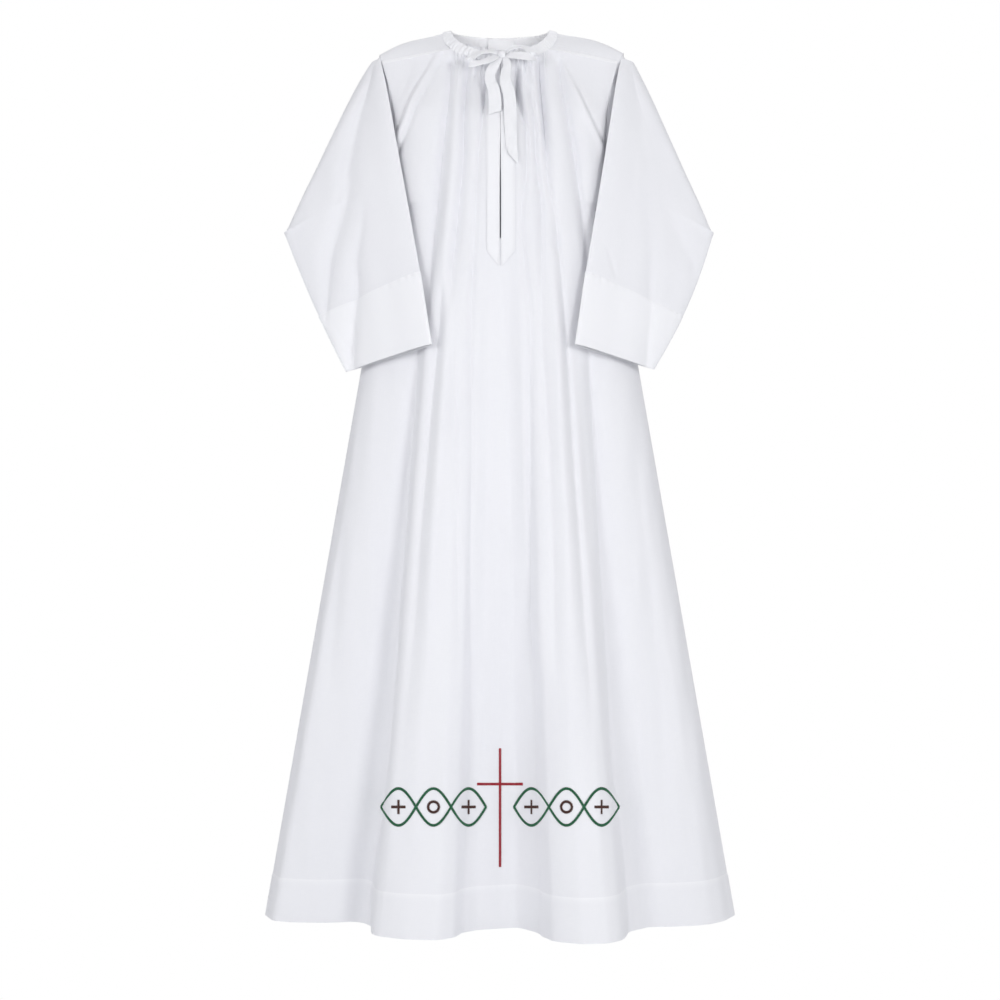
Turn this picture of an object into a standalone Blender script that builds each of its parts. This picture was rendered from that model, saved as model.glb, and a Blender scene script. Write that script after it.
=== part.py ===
"""Alb: a long white vestment with a drawstring neck, wide sleeves folded forward and a deep hem.

The garment hangs filled out and hollow. +X is the wearer's left, -Y is the front and +Z is up. The origin
lies in the middle of the neck opening, level with its two sides. Lengths are metres.
"""

import bpy
import bmesh
import math
import numpy as np

# Cloth
WALL = 0.0012
DOUBLE_WALL = 0.0018
CASING_WALLS = (0.0030, 0.0045, 0.0030)
SEAM = 0.0003
CLOTH_COLOR = (0.86, 0.87, 0.90)
CLOTH_ROUGHNESS = 0.85

# Body: half width at the shoulder seam, at the underarm and at the hem
UNDERARM_Z = -0.301
STITCH_Z = -1.392
HEM_Z = -1.462
ARMHOLE_TOP_Z = -0.059
ARMHOLE_DEPTH = 0.0445
ARMHOLE_CREST_Z = -0.0407
HALF_WIDTH = {
    "z": (-0.040, -0.059, -0.100, -0.150, -0.200, -0.250, -0.301, -1.462),
    "x": (0.1985, 0.1925, 0.1815, 0.1735, 0.1715, 0.1755, 0.1840, 0.3880),
}
FRONT_DEPTH = {
    "z": (-0.050, -0.066, -0.100, -0.150, -0.200, -0.280, -0.400, -0.600, -1.462),
    "y": (0.060, 0.068, 0.080, 0.093, 0.104, 0.112, 0.111, 0.108, 0.110),
}
BACK_DEPTH = {
    "z": (-0.010, -0.050, -0.100, -0.200, -0.350, -0.500, -0.650, -0.800, -1.462),
    "y": (0.070, 0.088, 0.102, 0.111, 0.105, 0.101, 0.108, 0.112, 0.120),
}
# Depth of the skirt round the hem: share of the half width, and distance in front or behind
FRONT_HEM = {
    "share": (-1.0, -0.955, -0.85, -0.62, -0.58, -0.554, -0.530, -0.489, -0.38, -0.252, -0.179, -0.094,
              0.0, 0.072, 0.108, 0.142, 0.205, 0.327, 0.434, 0.496, 0.538, 0.612, 0.808, 0.887, 0.948, 1.0),
    "y": (0.0, 0.042, 0.054, 0.060, 0.070, 0.093, 0.131, 0.149, 0.167, 0.174, 0.159, 0.111,
          0.096, 0.096, 0.119, 0.154, 0.183, 0.198, 0.193, 0.171, 0.134, 0.095, 0.077, 0.063, 0.040, 0.0),
}
BACK_HEM = {
    "share": (-1.0, -0.95, -0.80, -0.66, -0.56, -0.47, -0.33, -0.20, -0.11,
              0.0, 0.10, 0.18, 0.30, 0.42, 0.52, 0.62, 0.78, 0.90, 0.955, 1.0),
    "y": (0.0, 0.038, 0.058, 0.070, 0.105, 0.150, 0.172, 0.165, 0.128,
          0.112, 0.120, 0.150, 0.176, 0.168, 0.120, 0.084, 0.062, 0.052, 0.036, 0.0),
}
HEM_ROUNDING = 0.011
# Across the chest, the section's power against the half width, and the power of its rounding at two heights
CHEST_POWER = 2.2
CHEST_ROUND = {"z": (0.06, 0.30), "power": (1.3, 2.0)}
# The hem's folds grow from this height down, by this power of the distance
FOLD_TOP_Z = -0.25
FOLD_GROWTH = 1.1
# Drops below the armhole's top over which the columns pass from the seam to the body: z, x and y
LEAVE_Z = 0.20
LEAVE_X = 0.22
LEAVE_Y = 0.10

# Columns of each half panel: share that meets the yoke's corner, and how many lie inside and outside it
FRONT_JOINT = 0.5
FRONT_COLUMNS = (10, 7)
BACK_JOINT = 0.46
BACK_COLUMNS = (8, 7)

# Rows of the panels, at their armhole and side edges
ARMHOLE_ROWS = (-0.059, -0.085, -0.118, -0.155, -0.195, -0.235, -0.272, -0.301)
SKIRT_ROWS = (-0.357, -0.46, -0.57, -0.70, -0.85, -1.01, -1.17, -1.30, -1.392)
ROWS = ARMHOLE_ROWS + SKIRT_ROWS + (0.5 * (STITCH_Z + HEM_Z), HEM_Z)
ARM_COUNT = len(ARMHOLE_ROWS)
STITCH_ROW = ROWS.index(STITCH_Z)

# Neck: lower and upper edges of the casing, as half widths and depths
CASING_LOW_X = 0.0935
CASING_LOW_FRONT_Y = 0.0665
CASING_LOW_BACK_Y = 0.0700
CASING_UP_X = 0.0795
CASING_UP_FRONT_Y = 0.0595
CASING_UP_BACK_Y = 0.0600
# Heights of those edges: at the sides, then the drop in front with its power, and the rise at the back
CASING_LOW_RISE = {"side": -0.004, "front": -0.060, "power": 0.9, "back": -0.0065}
CASING_UP_RISE = {"side": -0.001, "front": -0.050, "power": 1.15, "back": 0.004}
CASING_BULGE = 0.0012
YOKE_ANGLE = math.radians(57)
# Each yoke: its shoulder end on the ridge, and how far the ridge rises above a straight line
YOKE_SIDES = {
    "right": {"side": -1, "shoulder": (0.1985, 0.0, -0.0395), "rise": 0.0065},
    "left": {"side": 1, "shoulder": (0.2040, 0.0, -0.0370), "rise": 0.0095},
}
YOKE_ROWS = 9
YOKE_COLUMNS = 5
YOKE_CREST = 1.15
YOKE_GAP = 0.0004

# Slit and placket
SLIT_LEFT_X = -0.0006
SLIT_RIGHT_X = 0.0018
STRIP_LEFT_X = -0.0212
STRIP_RIGHT_X = 0.0236
SLIT_END_Z = -0.357
STRIP_SHOULDER_Z = -0.379
STRIP_POINT_Z = -0.4035
STRIP_WALL = 0.0010
STRIP_GAP = 0.0006

# Label inside the back of the neck
LABEL_X = (-0.020, -0.0053, 0.0093, 0.024)
LABEL_DROP = 0.0045
LABEL_WALL = 0.0008
LABEL_GAP = 0.0009
LABEL_UP = 0.8

# Bow of the drawstring: a flat tape. Rows of each stretch: middle x, y, z; direction across; width
TAPE_WALL = 0.0012
KNOT_CENTRE = (0.0030, -0.0705, -0.0560)
KNOT_RADII = (0.0058, 0.0054, 0.0062)
KNOT_SEGMENTS = (10, 7)
TAPE_STEPS = 2
BOW_STRETCHES = {
    "bow_loop_right": (
        (-0.0035, -0.0712, -0.0535, 0.0, -0.75, -0.66, 0.008),
        (-0.0160, -0.0765, -0.0520, 0.0, -0.72, -0.69, 0.012),
        (-0.0320, -0.0800, -0.0540, 0.1, -0.70, -0.70, 0.0145),
        (-0.0445, -0.0800, -0.0620, 0.2, -0.70, -0.65, 0.0145),
        (-0.0480, -0.0795, -0.0680, 0.2, -0.72, -0.60, 0.0145),
        (-0.0420, -0.0790, -0.0705, 0.1, -0.72, -0.66, 0.0145),
        (-0.0280, -0.0775, -0.0675, 0.0, -0.72, -0.69, 0.0135),
        (-0.0140, -0.0750, -0.0625, 0.0, -0.74, -0.67, 0.011),
        (-0.0038, -0.0712, -0.0582, 0.0, -0.75, -0.66, 0.007),
    ),
    "bow_loop_left": (
        (0.0095, -0.0712, -0.0530, 0.0, -0.80, -0.60, 0.008),
        (0.0210, -0.0770, -0.0475, 0.0, -0.78, -0.62, 0.012),
        (0.0360, -0.0800, -0.0450, 0.0, -0.75, -0.66, 0.0145),
        (0.0490, -0.0800, -0.0485, 0.0, -0.72, -0.69, 0.0145),
        (0.0545, -0.0795, -0.0560, 0.0, -0.72, -0.69, 0.0145),
        (0.0490, -0.0785, -0.0605, 0.0, -0.70, -0.71, 0.0145),
        (0.0340, -0.0770, -0.0610, 0.0, -0.66, -0.75, 0.0135),
        (0.0200, -0.0745, -0.0595, 0.0, -0.70, -0.71, 0.011),
        (0.0096, -0.0712, -0.0572, 0.0, -0.78, -0.62, 0.007),
    ),
    "bow_tail_right": (
        (0.0000, -0.0712, -0.0635, 0.75, -0.30, -0.58, 0.008),
        (-0.0070, -0.0790, -0.0740, 0.80, -0.20, -0.56, 0.012),
        (-0.0165, -0.0850, -0.0900, 0.85, 0.30, -0.43, 0.0145),
        (-0.0195, -0.0885, -0.1050, 0.90, 0.40, 0.10, 0.0145),
        (-0.0130, -0.0920, -0.1210, 0.95, 0.10, 0.28, 0.0145),
        (-0.0095, -0.0960, -0.1380, 1.00, 0.00, 0.05, 0.0145),
        (-0.0090, -0.0985, -0.1530, 1.00, 0.00, 0.00, 0.0145),
    ),
    "bow_tail_left": (
        (0.0065, -0.0712, -0.0630, 0.80, -0.40, 0.45, 0.008),
        (0.0095, -0.0790, -0.0760, 0.90, -0.40, 0.10, 0.012),
        (0.0070, -0.0840, -0.0910, 0.85, -0.45, -0.20, 0.0145),
        (0.0070, -0.0880, -0.1060, 0.90, -0.30, 0.25, 0.0145),
        (0.0150, -0.0925, -0.1230, 0.95, 0.00, 0.28, 0.0145),
        (0.0210, -0.0970, -0.1420, 1.00, 0.00, 0.10, 0.0145),
        (0.0220, -0.1040, -0.1750, 1.00, 0.00, 0.00, 0.0145),
        (0.0220, -0.1090, -0.2100, 1.00, 0.00, 0.00, 0.0145),
        (0.0220, -0.1125, -0.2390, 1.00, 0.00, 0.00, 0.0145),
    ),
}

# Sleeves: over-arm edge on the front of the body, and the corners of the folded sleeve, for each side
UNDERARM = (0.1840, 0.0, -0.301)
FOLD_SHARE = 0.404
CUFF_SHARE = 0.757
SLEEVE_SIDES = {
    "right": {"side": -1, "fold_start": (0.2130, 0.0, -0.0395), "elbow": (0.3555, -0.008, -0.3358),
              "cuff_low": (0.2505, -0.045, -0.5665), "bulge": 0.0040},
    "left": {"side": 1, "fold_start": (0.2185, 0.0, -0.0395), "elbow": (0.3520, -0.008, -0.3366),
             "cuff_low": (0.2508, -0.045, -0.5628), "bulge": 0.0090},
}
OVER_ARM = {
    "share": (0.0, 0.05, 0.10, 0.20, 0.35, 0.55, 0.757, 1.0),
    "right_x": (0.1985, 0.1930, 0.1860, 0.1767, 0.1640, 0.1460, 0.1277, 0.1085),
    "left_x": (0.2020, 0.1950, 0.1890, 0.1812, 0.1700, 0.1543, 0.1370, 0.1192),
    "y": (-0.004, -0.030, -0.046, -0.060, -0.072, -0.087, -0.105, -0.128),
    "z": (-0.0405, -0.0670, -0.0950, -0.1440, -0.2150, -0.3100, -0.4100, -0.5290),
}
SLEEVE_HALF_GAP = 0.0065
SHOULDER_ROUND = 0.0125
SHOULDER_ROUND_LENGTH = 0.05
SLEEVE_EDGE = 0.0025
INSET_AT_EDGES = 1.4
SLEEVE_RINGS = (0.016, 0.05, 0.11, 0.18, 0.26, 0.34, 0.404, 0.46, 0.54, 0.65, 0.757)
CUFF_RINGS = (0.7577, 0.86, 1.0)
ARMHOLE_GAP = (0.0009, 0.0, 0.0007)
# Depth of the sleeve's fold in front of the shoulder, and the gap between its layers along that fold
FOLD_DEPTH = {"share": (0.0, 0.06, 0.16, 0.30, 0.404, 0.60, 1.0),
              "y": (0.006, 0.016, 0.018, 0.011, 0.0065, 0.020, 0.045)}
FOLD_GAP = {"share": (0.0, 0.05, 0.1, 0.25, 0.404), "half": (0.003, 0.012, 0.014, 0.007, 0.003)}
FOLD_BEND = 1.12
ROLL = 0.012
FLAT_ROLL = 1.4 * ROLL
PAST_FOLD = 0.8
BEHIND = 0.008
# Half gap behind the fold at the armhole, the share where it ends, and how the gap widens down to the cuff
OPEN_HALF_GAP = 0.030
OPEN_END_SHARE = 0.30
CUFF_WIDENING = 0.0015
EDGE_ROUND = 0.05
# Places of a ring's points, as shares: past the fold, and below the elbow at its start and its end
FOLD_STEP = 0.012
FOLD_STEP_SHARE = 0.3
NARROW_FLAP = 0.06
FLAP_PLACES = (0.35, 0.70)
NARROW_PLACES = (0.25, 0.5, 0.75)
REST_PLACES = (0.28, 0.55, 0.80)
ELBOW_PLACES = (0.33, 0.64, 0.88, 0.91, 0.93, 0.95, 0.965, 0.98)
EVEN_PLACES = (0.14, 0.28, 0.42, 0.55, 0.67, 0.78, 0.87, 0.94)
EVENING = 2.2


def smooth(value):
    value = np.clip(value, 0.0, 1.0)
    return value * value * (3.0 - 2.0 * value)


def unit(vectors):
    return vectors / np.linalg.norm(vectors, axis=-1, keepdims=True)


def half_width(z):
    return np.interp(-z, [-v for v in HALF_WIDTH["z"]], HALF_WIDTH["x"])


def armhole_depth(z):
    """Half of the armhole's opening from front to back at height z; none below the underarm."""
    share = np.clip((ARMHOLE_CREST_Z - z) / (ARMHOLE_CREST_Z - UNDERARM_Z), 0.0, 1.0)
    return ARMHOLE_DEPTH * np.sqrt(np.clip(np.sin(np.pi * share), 0.0, 1.0))


def rounded(table):
    """The hem's section as a smooth table: straight between its rows, with the corners rounded."""
    share = np.linspace(-1.3, 1.3, 1041)
    inner = np.interp(share, table["share"], table["y"])
    inner = np.where(share < -1, -np.interp(-2 - share, table["share"], table["y"]), inner)
    inner = np.where(share > 1, -np.interp(2 - share, table["share"], table["y"]), inner)
    steps = np.arange(-40, 41) * (share[1] - share[0])
    kernel = np.exp(-0.5 * (steps / HEM_ROUNDING) ** 2)
    return share, np.convolve(inner, kernel / kernel.sum(), mode="same")


FRONT_SECTION = rounded(FRONT_HEM)
BACK_SECTION = rounded(BACK_HEM)


def body_depth(x, z, depth_table, section):
    """Distance of the body's cloth in front of, or behind, the plane of the side seams."""
    width = half_width(z)
    share = np.clip(np.abs(x) / width, 0.0, 1.0)
    edge = armhole_depth(z)
    middle = np.interp(-z, [-v for v in depth_table["z"]], depth_table["y"])
    power = 1.0 / np.interp(-z, CHEST_ROUND["z"], CHEST_ROUND["power"])
    chest = edge + (middle - edge) * (1.0 - share**CHEST_POWER) ** power
    hem = np.interp(x / width, *section)
    blend = np.clip((FOLD_TOP_Z - z) / (FOLD_TOP_Z - HEM_Z), 0.0, 1.0) ** FOLD_GROWTH
    return chest * (1.0 - blend) + hem * blend


def casing_edge(angle, half_x, front_y, back_y, rise):
    c = math.cos(angle)
    x = half_x * math.sin(angle)
    if c >= 0:
        return (x, -front_y * c, rise["side"] + rise["front"] * c ** rise["power"])
    return (x, -back_y * c, rise["side"] - rise["back"] * c)


def casing_low(angle):
    """A point of the seam between the casing and the panels; angle 0 is the front, pi is the back."""
    return casing_edge(angle, CASING_LOW_X, CASING_LOW_FRONT_Y, CASING_LOW_BACK_Y, CASING_LOW_RISE)


def casing_up(angle):
    """A point of the upper edge of the casing."""
    return casing_edge(angle, CASING_UP_X, CASING_UP_FRONT_Y, CASING_UP_BACK_Y, CASING_UP_RISE)


def panel_grid(columns, top_points, depth_table, section, front):
    """Outer points of a panel: a row for each height and a column for each line of the cloth.

    columns holds x at the hem's stitch line for each column, or a fixed x near the middle.
    """
    grid = np.zeros((len(ROWS), len(columns["x"]), 3))
    for i, level in enumerate(ROWS):
        drop = ARMHOLE_TOP_Z - level
        z = level + (top_points[:, 2] - ARMHOLE_TOP_Z) * (1.0 - smooth(drop / LEAVE_Z))
        width = half_width(z)
        x_body = np.where(columns["fixed"], columns["x"], np.sign(columns["x"]) * (
            columns["inner"] + (width - columns["inner"]) * columns["share"]))
        x = top_points[:, 0] + (x_body - top_points[:, 0]) * smooth(drop / LEAVE_X)
        y_body = body_depth(x, z, depth_table, section) * (-1 if front else 1)
        y = top_points[:, 1] + (y_body - top_points[:, 1]) * smooth(drop / LEAVE_Y)
        edge = columns["share"] == 1.0
        x = np.where(edge, np.sign(columns["x"]) * half_width(level), x)
        y = np.where(edge, armhole_depth(level) * (-1 if front else 1), y)
        grid[i] = np.stack([x, y, z], axis=1)
    return grid


def table_columns(items):
    """items: (x for a fixed column or sign, share along the rest, inner limit)."""
    return {
        "fixed": np.array([item[0] == "fixed" for item in items]),
        "x": np.array([item[1] for item in items], dtype=float),
        "share": np.array([item[2] for item in items], dtype=float),
        "inner": np.array([item[3] for item in items], dtype=float),
    }


def top_of_front(x, share):
    """Top point of a front column: on the casing in the middle, on the yoke's seam further out."""
    sign = 1.0 if x > 0 else -1.0
    start = math.asin(STRIP_RIGHT_X / CASING_LOW_X)
    if share is None:
        angle = math.asin(abs(x) / CASING_LOW_X)
    elif share <= FRONT_JOINT:
        angle = start + (YOKE_ANGLE - start) * share / FRONT_JOINT
    else:
        inner = np.array(casing_low(YOKE_ANGLE))
        outer = np.array((half_width(ARMHOLE_TOP_Z), -armhole_depth(ARMHOLE_TOP_Z), ARMHOLE_TOP_Z))
        point = inner + (outer - inner) * (share - FRONT_JOINT) / (1.0 - FRONT_JOINT)
        return (sign * point[0], point[1], point[2])
    point = casing_low(angle)
    return (sign * point[0], point[1], point[2])


def top_of_back(x, share):
    sign = 1.0 if x > 0 else -1.0
    if share <= BACK_JOINT:
        point = casing_low(math.pi - YOKE_ANGLE * share / BACK_JOINT)
        return (sign * point[0], point[1], point[2])
    inner = np.array(casing_low(math.pi - YOKE_ANGLE))
    outer = np.array((half_width(ARMHOLE_TOP_Z), armhole_depth(ARMHOLE_TOP_Z), ARMHOLE_TOP_Z))
    point = inner + (outer - inner) * (share - BACK_JOINT) / (1.0 - BACK_JOINT)
    return (sign * point[0], point[1], point[2])


def seam_shares(section, sign, inner, joint, counts):
    """Shares of a half panel's columns, with one on the yoke's corner, at even lengths round the hem."""
    inner_count, outer_count = counts
    share = np.linspace(inner / HALF_WIDTH["x"][-1], 1.0, 500)
    x = share * HALF_WIDTH["x"][-1]
    y = np.interp(sign * share, *section)
    length = np.concatenate([[0], np.cumsum(np.hypot(np.diff(x), np.diff(y)))])
    along = (share - share[0]) / (1.0 - share[0])
    middle = np.interp(joint, along, length)
    lengths = np.concatenate([
        np.linspace(0, middle, inner_count + 1)[1:],
        np.linspace(middle, length[-1], outer_count + 1)[1:],
    ])
    found = np.interp(lengths, length, along)
    found[inner_count - 1] = joint
    found[-1] = 1.0
    return found


def seam_normals(angles, rows):
    """Directions out of the cloth along a seam, from a short table of them."""
    table = np.array([row[1:] for row in rows], dtype=float)
    keys = [row[0] for row in rows]
    return unit(np.stack([np.interp(angles, keys, table[:, k]) for k in range(3)], axis=-1))


# angle round the neck in degrees, then the direction out of the cloth
NECK_OUT = (
    (0, 0.00, -0.92, 0.39),
    (57, 0.30, -0.70, 0.65),
    (90, 0.33, 0.00, 0.94),
    (123, 0.25, 0.55, 0.80),
    (180, 0.00, 0.85, 0.53),
)
# height of the armhole's edge, then the direction out of the cloth at its front
ARMHOLE_OUT = (
    (0.059, 0.30, -0.75, 0.58),
    (0.118, 0.35, -0.93, 0.05),
    (0.195, 0.35, -0.93, 0.00),
    (0.272, 0.55, -0.83, 0.00),
    (0.301, 1.00, 0.00, 0.00),
)
SHOULDER_OUT = (0.30, 0.0, 0.95)


def neck_out(angle, sign):
    out = seam_normals(math.degrees(angle), NECK_OUT)
    return out * (sign, 1.0, 1.0)


def armhole_out(z, sign, front):
    out = seam_normals(-z, ARMHOLE_OUT)
    return out * (sign, 1.0 if front else -1.0, 1.0)


def grid_normals(grid, before=None, after=None):
    """Directions out of a grid of points, as (row step) x (column step); ghosts continue each row."""
    first = 2 * grid[:, 0] - grid[:, 1] if before is None else before
    last = 2 * grid[:, -1] - grid[:, -2] if after is None else after
    wide = np.concatenate([first[:, None], grid, last[:, None]], axis=1)
    across = wide[:, 2:] - wide[:, :-2]
    down = np.gradient(grid, axis=0)
    return unit(np.cross(across, down))


def material(name, color, roughness):
    made = bpy.data.materials.new(name)
    made.use_nodes = True
    shader = made.node_tree.nodes["Principled BSDF"]
    shader.inputs["Base Color"].default_value = (*color, 1.0)
    shader.inputs["Roughness"].default_value = roughness
    made.diffuse_color = (*color, 1.0)
    return made


def solid(name, outer, inner, faces):
    """A wall between two sets of points with the same faces, closed round every free edge."""
    count = len(outer)
    edges = {}
    for face in faces:
        for a, b in zip(face, face[1:] + face[:1]):
            edges[(a, b)] = True
    sides = [(a, b, b + count, a + count) for a, b in edges if (b, a) not in edges]
    mesh = bpy.data.meshes.new(name)
    points = [tuple(p) for p in outer] + [tuple(p) for p in inner]
    all_faces = [tuple(reversed(f)) for f in faces]
    all_faces += [tuple(i + count for i in f) for f in faces] + sides
    mesh.from_pydata(points, [], all_faces)
    build = bmesh.new()
    build.from_mesh(mesh)
    bmesh.ops.recalc_face_normals(build, faces=build.faces)
    bmesh.ops.triangulate(build, faces=build.faces)
    build.to_mesh(mesh)
    build.free()
    made = bpy.data.objects.new(name, mesh)
    mesh.materials.append(material(name, CLOTH_COLOR, CLOTH_ROUGHNESS))
    bpy.context.scene.collection.objects.link(made)
    return made


def grid_faces(rows, columns, closed=False, skip=()):
    faces = []
    for i in range(rows - 1):
        for j in range(columns if closed else columns - 1):
            if (i, j) in skip:
                continue
            k = (j + 1) % columns
            faces.append([i * columns + j, i * columns + k, (i + 1) * columns + k, (i + 1) * columns + j])
    return faces


def grid_solid(name, grid, normals, wall, closed=False, skip=(), shift=(0, 0, 0)):
    outer = grid + np.array(shift)
    inner = outer - normals * wall
    rows, columns = grid.shape[:2]
    faces = grid_faces(rows, columns, closed, skip)
    return solid(name, outer.reshape(-1, 3), inner.reshape(-1, 3), faces)


for item in list(bpy.data.objects):
    bpy.data.objects.remove(item, do_unlink=True)

# ---- Front and back panels, with the double cloth of the hem below its stitch line


left_shares = seam_shares(FRONT_SECTION, -1, -STRIP_LEFT_X, FRONT_JOINT, FRONT_COLUMNS)
right_shares = seam_shares(FRONT_SECTION, 1, STRIP_RIGHT_X, FRONT_JOINT, FRONT_COLUMNS)
front_items = [("free", -1, s, -STRIP_LEFT_X) for s in left_shares[::-1]]
front_items += [("fixed", x, 0.0, 0.0) for x in (STRIP_LEFT_X, SLIT_LEFT_X, SLIT_RIGHT_X, STRIP_RIGHT_X)]
front_items += [("free", 1, s, STRIP_RIGHT_X) for s in right_shares]
front_tops = [top_of_front(x, s if kind == "free" else None) for kind, x, s, _ in front_items]

back_left = seam_shares(BACK_SECTION, -1, 0.0, BACK_JOINT, BACK_COLUMNS)
back_right = seam_shares(BACK_SECTION, 1, 0.0, BACK_JOINT, BACK_COLUMNS)
back_items = [("free", -1, s, 0.0) for s in back_left[::-1]] + [("fixed", 0.0, 0.0, 0.0)]
back_items += [("free", 1, s, 0.0) for s in back_right]
back_tops = [top_of_back(x, s) for _, x, s, _ in back_items]

front_grid = panel_grid(table_columns(front_items), np.array(front_tops), FRONT_DEPTH, FRONT_SECTION, True)
back_grid = panel_grid(table_columns(back_items), np.array(back_tops), BACK_DEPTH, BACK_SECTION, False)


def ghost(grid, column, neighbour, other):
    """Points past a panel's side edge: the other panel's next column below the underarm."""
    found = 2 * grid[:, column] - grid[:, neighbour]
    found[ARM_COUNT - 1:] = other[ARM_COUNT - 1:]
    return found


front_out = grid_normals(
    front_grid, ghost(front_grid, 0, 1, back_grid[:, 1]), ghost(front_grid, -1, -2, back_grid[:, -2]))
back_out = grid_normals(
    back_grid, ghost(back_grid, 0, 1, front_grid[:, 1]), ghost(back_grid, -1, -2, front_grid[:, -2]))
if np.mean(front_out[STITCH_ROW, :, 1]) > 0:
    front_out = -front_out
if np.mean(back_out[STITCH_ROW, :, 1]) < 0:
    back_out = -back_out


def angle_of(point):
    """Angle round the neck of a point of the casing's lower edge."""
    y = point[1] / (CASING_LOW_FRONT_Y if point[1] < 0 else CASING_LOW_BACK_Y)
    return math.atan2(abs(point[0]) / CASING_LOW_X, -y)


def set_seam_normals(grid, out, front):
    corner = abs(casing_low(YOKE_ANGLE)[0])
    for j in range(grid.shape[1]):
        point = grid[0, j]
        sign = 1.0 if point[0] > 0 else -1.0
        if abs(point[0]) <= corner + 1e-6:
            out[0, j] = neck_out(angle_of(point), sign)
        else:
            share = (abs(point[0]) - corner) / (half_width(ARMHOLE_TOP_Z) - corner)
            inner = neck_out(YOKE_ANGLE if front else math.pi - YOKE_ANGLE, sign)
            outer = armhole_out(ARMHOLE_TOP_Z, sign, front)
            out[0, j] = unit(inner + (outer - inner) * share)
    for j, sign in ((0, -1.0), (-1, 1.0)):
        for i in range(ARM_COUNT - 1):
            out[i, j] = armhole_out(ROWS[i], sign, front)
        out[ARM_COUNT - 1, j] = (sign, 0.0, 0.0)


set_seam_normals(front_grid, front_out, True)
set_seam_normals(back_grid, back_out, False)

slit_column = [kind for kind, *_ in front_items].index("fixed") + 1
slit_row = ROWS.index(SLIT_END_Z)
grid_solid("front", front_grid[: STITCH_ROW + 1], front_out[: STITCH_ROW + 1], WALL,
           skip={(i, slit_column) for i in range(slit_row)}, shift=(0, -0.5 * SEAM, 0))
grid_solid("back", back_grid[: STITCH_ROW + 1], back_out[: STITCH_ROW + 1], WALL, shift=(0, 0.5 * SEAM, 0))
for name, grid, out, side in (("hem_front", front_grid, front_out, -1), ("hem_back", back_grid, back_out, 1)):
    band = grid[STITCH_ROW:].copy()
    band[0, :, 2] -= SEAM
    grid_solid(name, band, out[STITCH_ROW:], DOUBLE_WALL, shift=(0, side * 0.5 * SEAM, 0))

# ---- Yokes: shoulder strips from the front panel's seam over the ridge to the back panel's seam


def shoulder_line(yoke, psi):
    """The yoke's seam with the sleeve: psi runs from -1, front, over the ridge at 0, to 1, back."""
    front = np.array((half_width(ARMHOLE_TOP_Z), -armhole_depth(ARMHOLE_TOP_Z), ARMHOLE_TOP_Z))
    back = front * (1, -1, 1)
    point = front * (psi * psi - psi) / 2 + np.array(yoke["shoulder"]) * (1 - psi * psi)
    point = point + back * (psi * psi + psi) / 2
    edge_out = armhole_out(ARMHOLE_TOP_Z, 1.0, psi < 0)
    return point, unit(np.array(SHOULDER_OUT) + (edge_out - np.array(SHOULDER_OUT)) * abs(psi))


for label, yoke in YOKE_SIDES.items():
    grid = np.zeros((YOKE_ROWS, YOKE_COLUMNS, 3))
    out = np.zeros_like(grid)
    for i in range(YOKE_ROWS):
        psi = -1.0 + 2.0 * i / (YOKE_ROWS - 1)
        angle = 0.5 * math.pi + psi * (0.5 * math.pi - YOKE_ANGLE)
        neck = np.array(casing_low(angle))
        outer, outer_out = shoulder_line(yoke, psi)
        for j in range(YOKE_COLUMNS):
            share = j / (YOKE_COLUMNS - 1)
            grid[i, j] = neck + (outer - neck) * share
            grid[i, j, 2] += yoke["rise"] * math.sin(math.pi * share**YOKE_CREST) * (1 - psi * psi)
            out[i, j] = unit(neck_out(angle, 1.0) + (outer_out - neck_out(angle, 1.0)) * share)
    grid[..., 0] *= yoke["side"]
    out[..., 0] *= yoke["side"]
    grid_solid("yoke_" + label, grid, out, WALL, shift=(yoke["side"] * YOKE_GAP, 0, YOKE_GAP))

# ---- Casing: the gathered channel round the neck, open at the slit
front_angles = [angle_of(p) for p in front_tops if abs(p[0]) <= casing_low(YOKE_ANGLE)[0] + 1e-6 and p[0] > 0]
front_left = [angle_of(p) for p in front_tops if abs(p[0]) <= casing_low(YOKE_ANGLE)[0] + 1e-6 and p[0] < 0]
yoke_angles = [0.5 * math.pi + (2.0 * i / (YOKE_ROWS - 1) - 1.0) * (0.5 * math.pi - YOKE_ANGLE)
               for i in range(1, YOKE_ROWS)]
back_angles = [math.pi - YOKE_ANGLE * s / BACK_JOINT for s in back_right if s < BACK_JOINT][::-1]
other_angles = [math.pi - YOKE_ANGLE * s / BACK_JOINT for s in back_left if s < BACK_JOINT][::-1]
half = sorted(front_angles) + yoke_angles + back_angles
other = sorted(front_left) + yoke_angles + other_angles
stations = [(a, 1.0) for a in half] + [(math.pi, 1.0)] + [(a, -1.0) for a in other[::-1]]


def casing_section(angle, sign):
    """Lower edge, middle and upper edge of the casing at this angle, and the directions out of them."""
    low = np.array(casing_low(angle)) * (sign, 1, 1)
    up = np.array(casing_up(angle)) * (sign, 1, 1)
    out = neck_out(angle, sign)
    away = np.array((math.sin(angle) * sign, -math.cos(angle), 0.0))
    up_out = unit(0.4 * out + away * 0.6 + np.array((0, 0, 0.35)))
    points = np.array([low, 0.5 * (low + up) + CASING_BULGE * out, up]) + (0, 0, SEAM)
    return points, np.array([out, unit(out + up_out), up_out])


sections = [casing_section(angle, sign) for angle, sign in stations]
casing_grid = np.array([points for points, _ in sections]).transpose(1, 0, 2)
casing_out = np.array([outs for _, outs in sections]).transpose(1, 0, 2)
casing_inner = casing_grid - casing_out * np.array(CASING_WALLS)[:, None, None]
solid("neck_casing", casing_grid.reshape(-1, 3), casing_inner.reshape(-1, 3), grid_faces(3, len(stations)))

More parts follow.
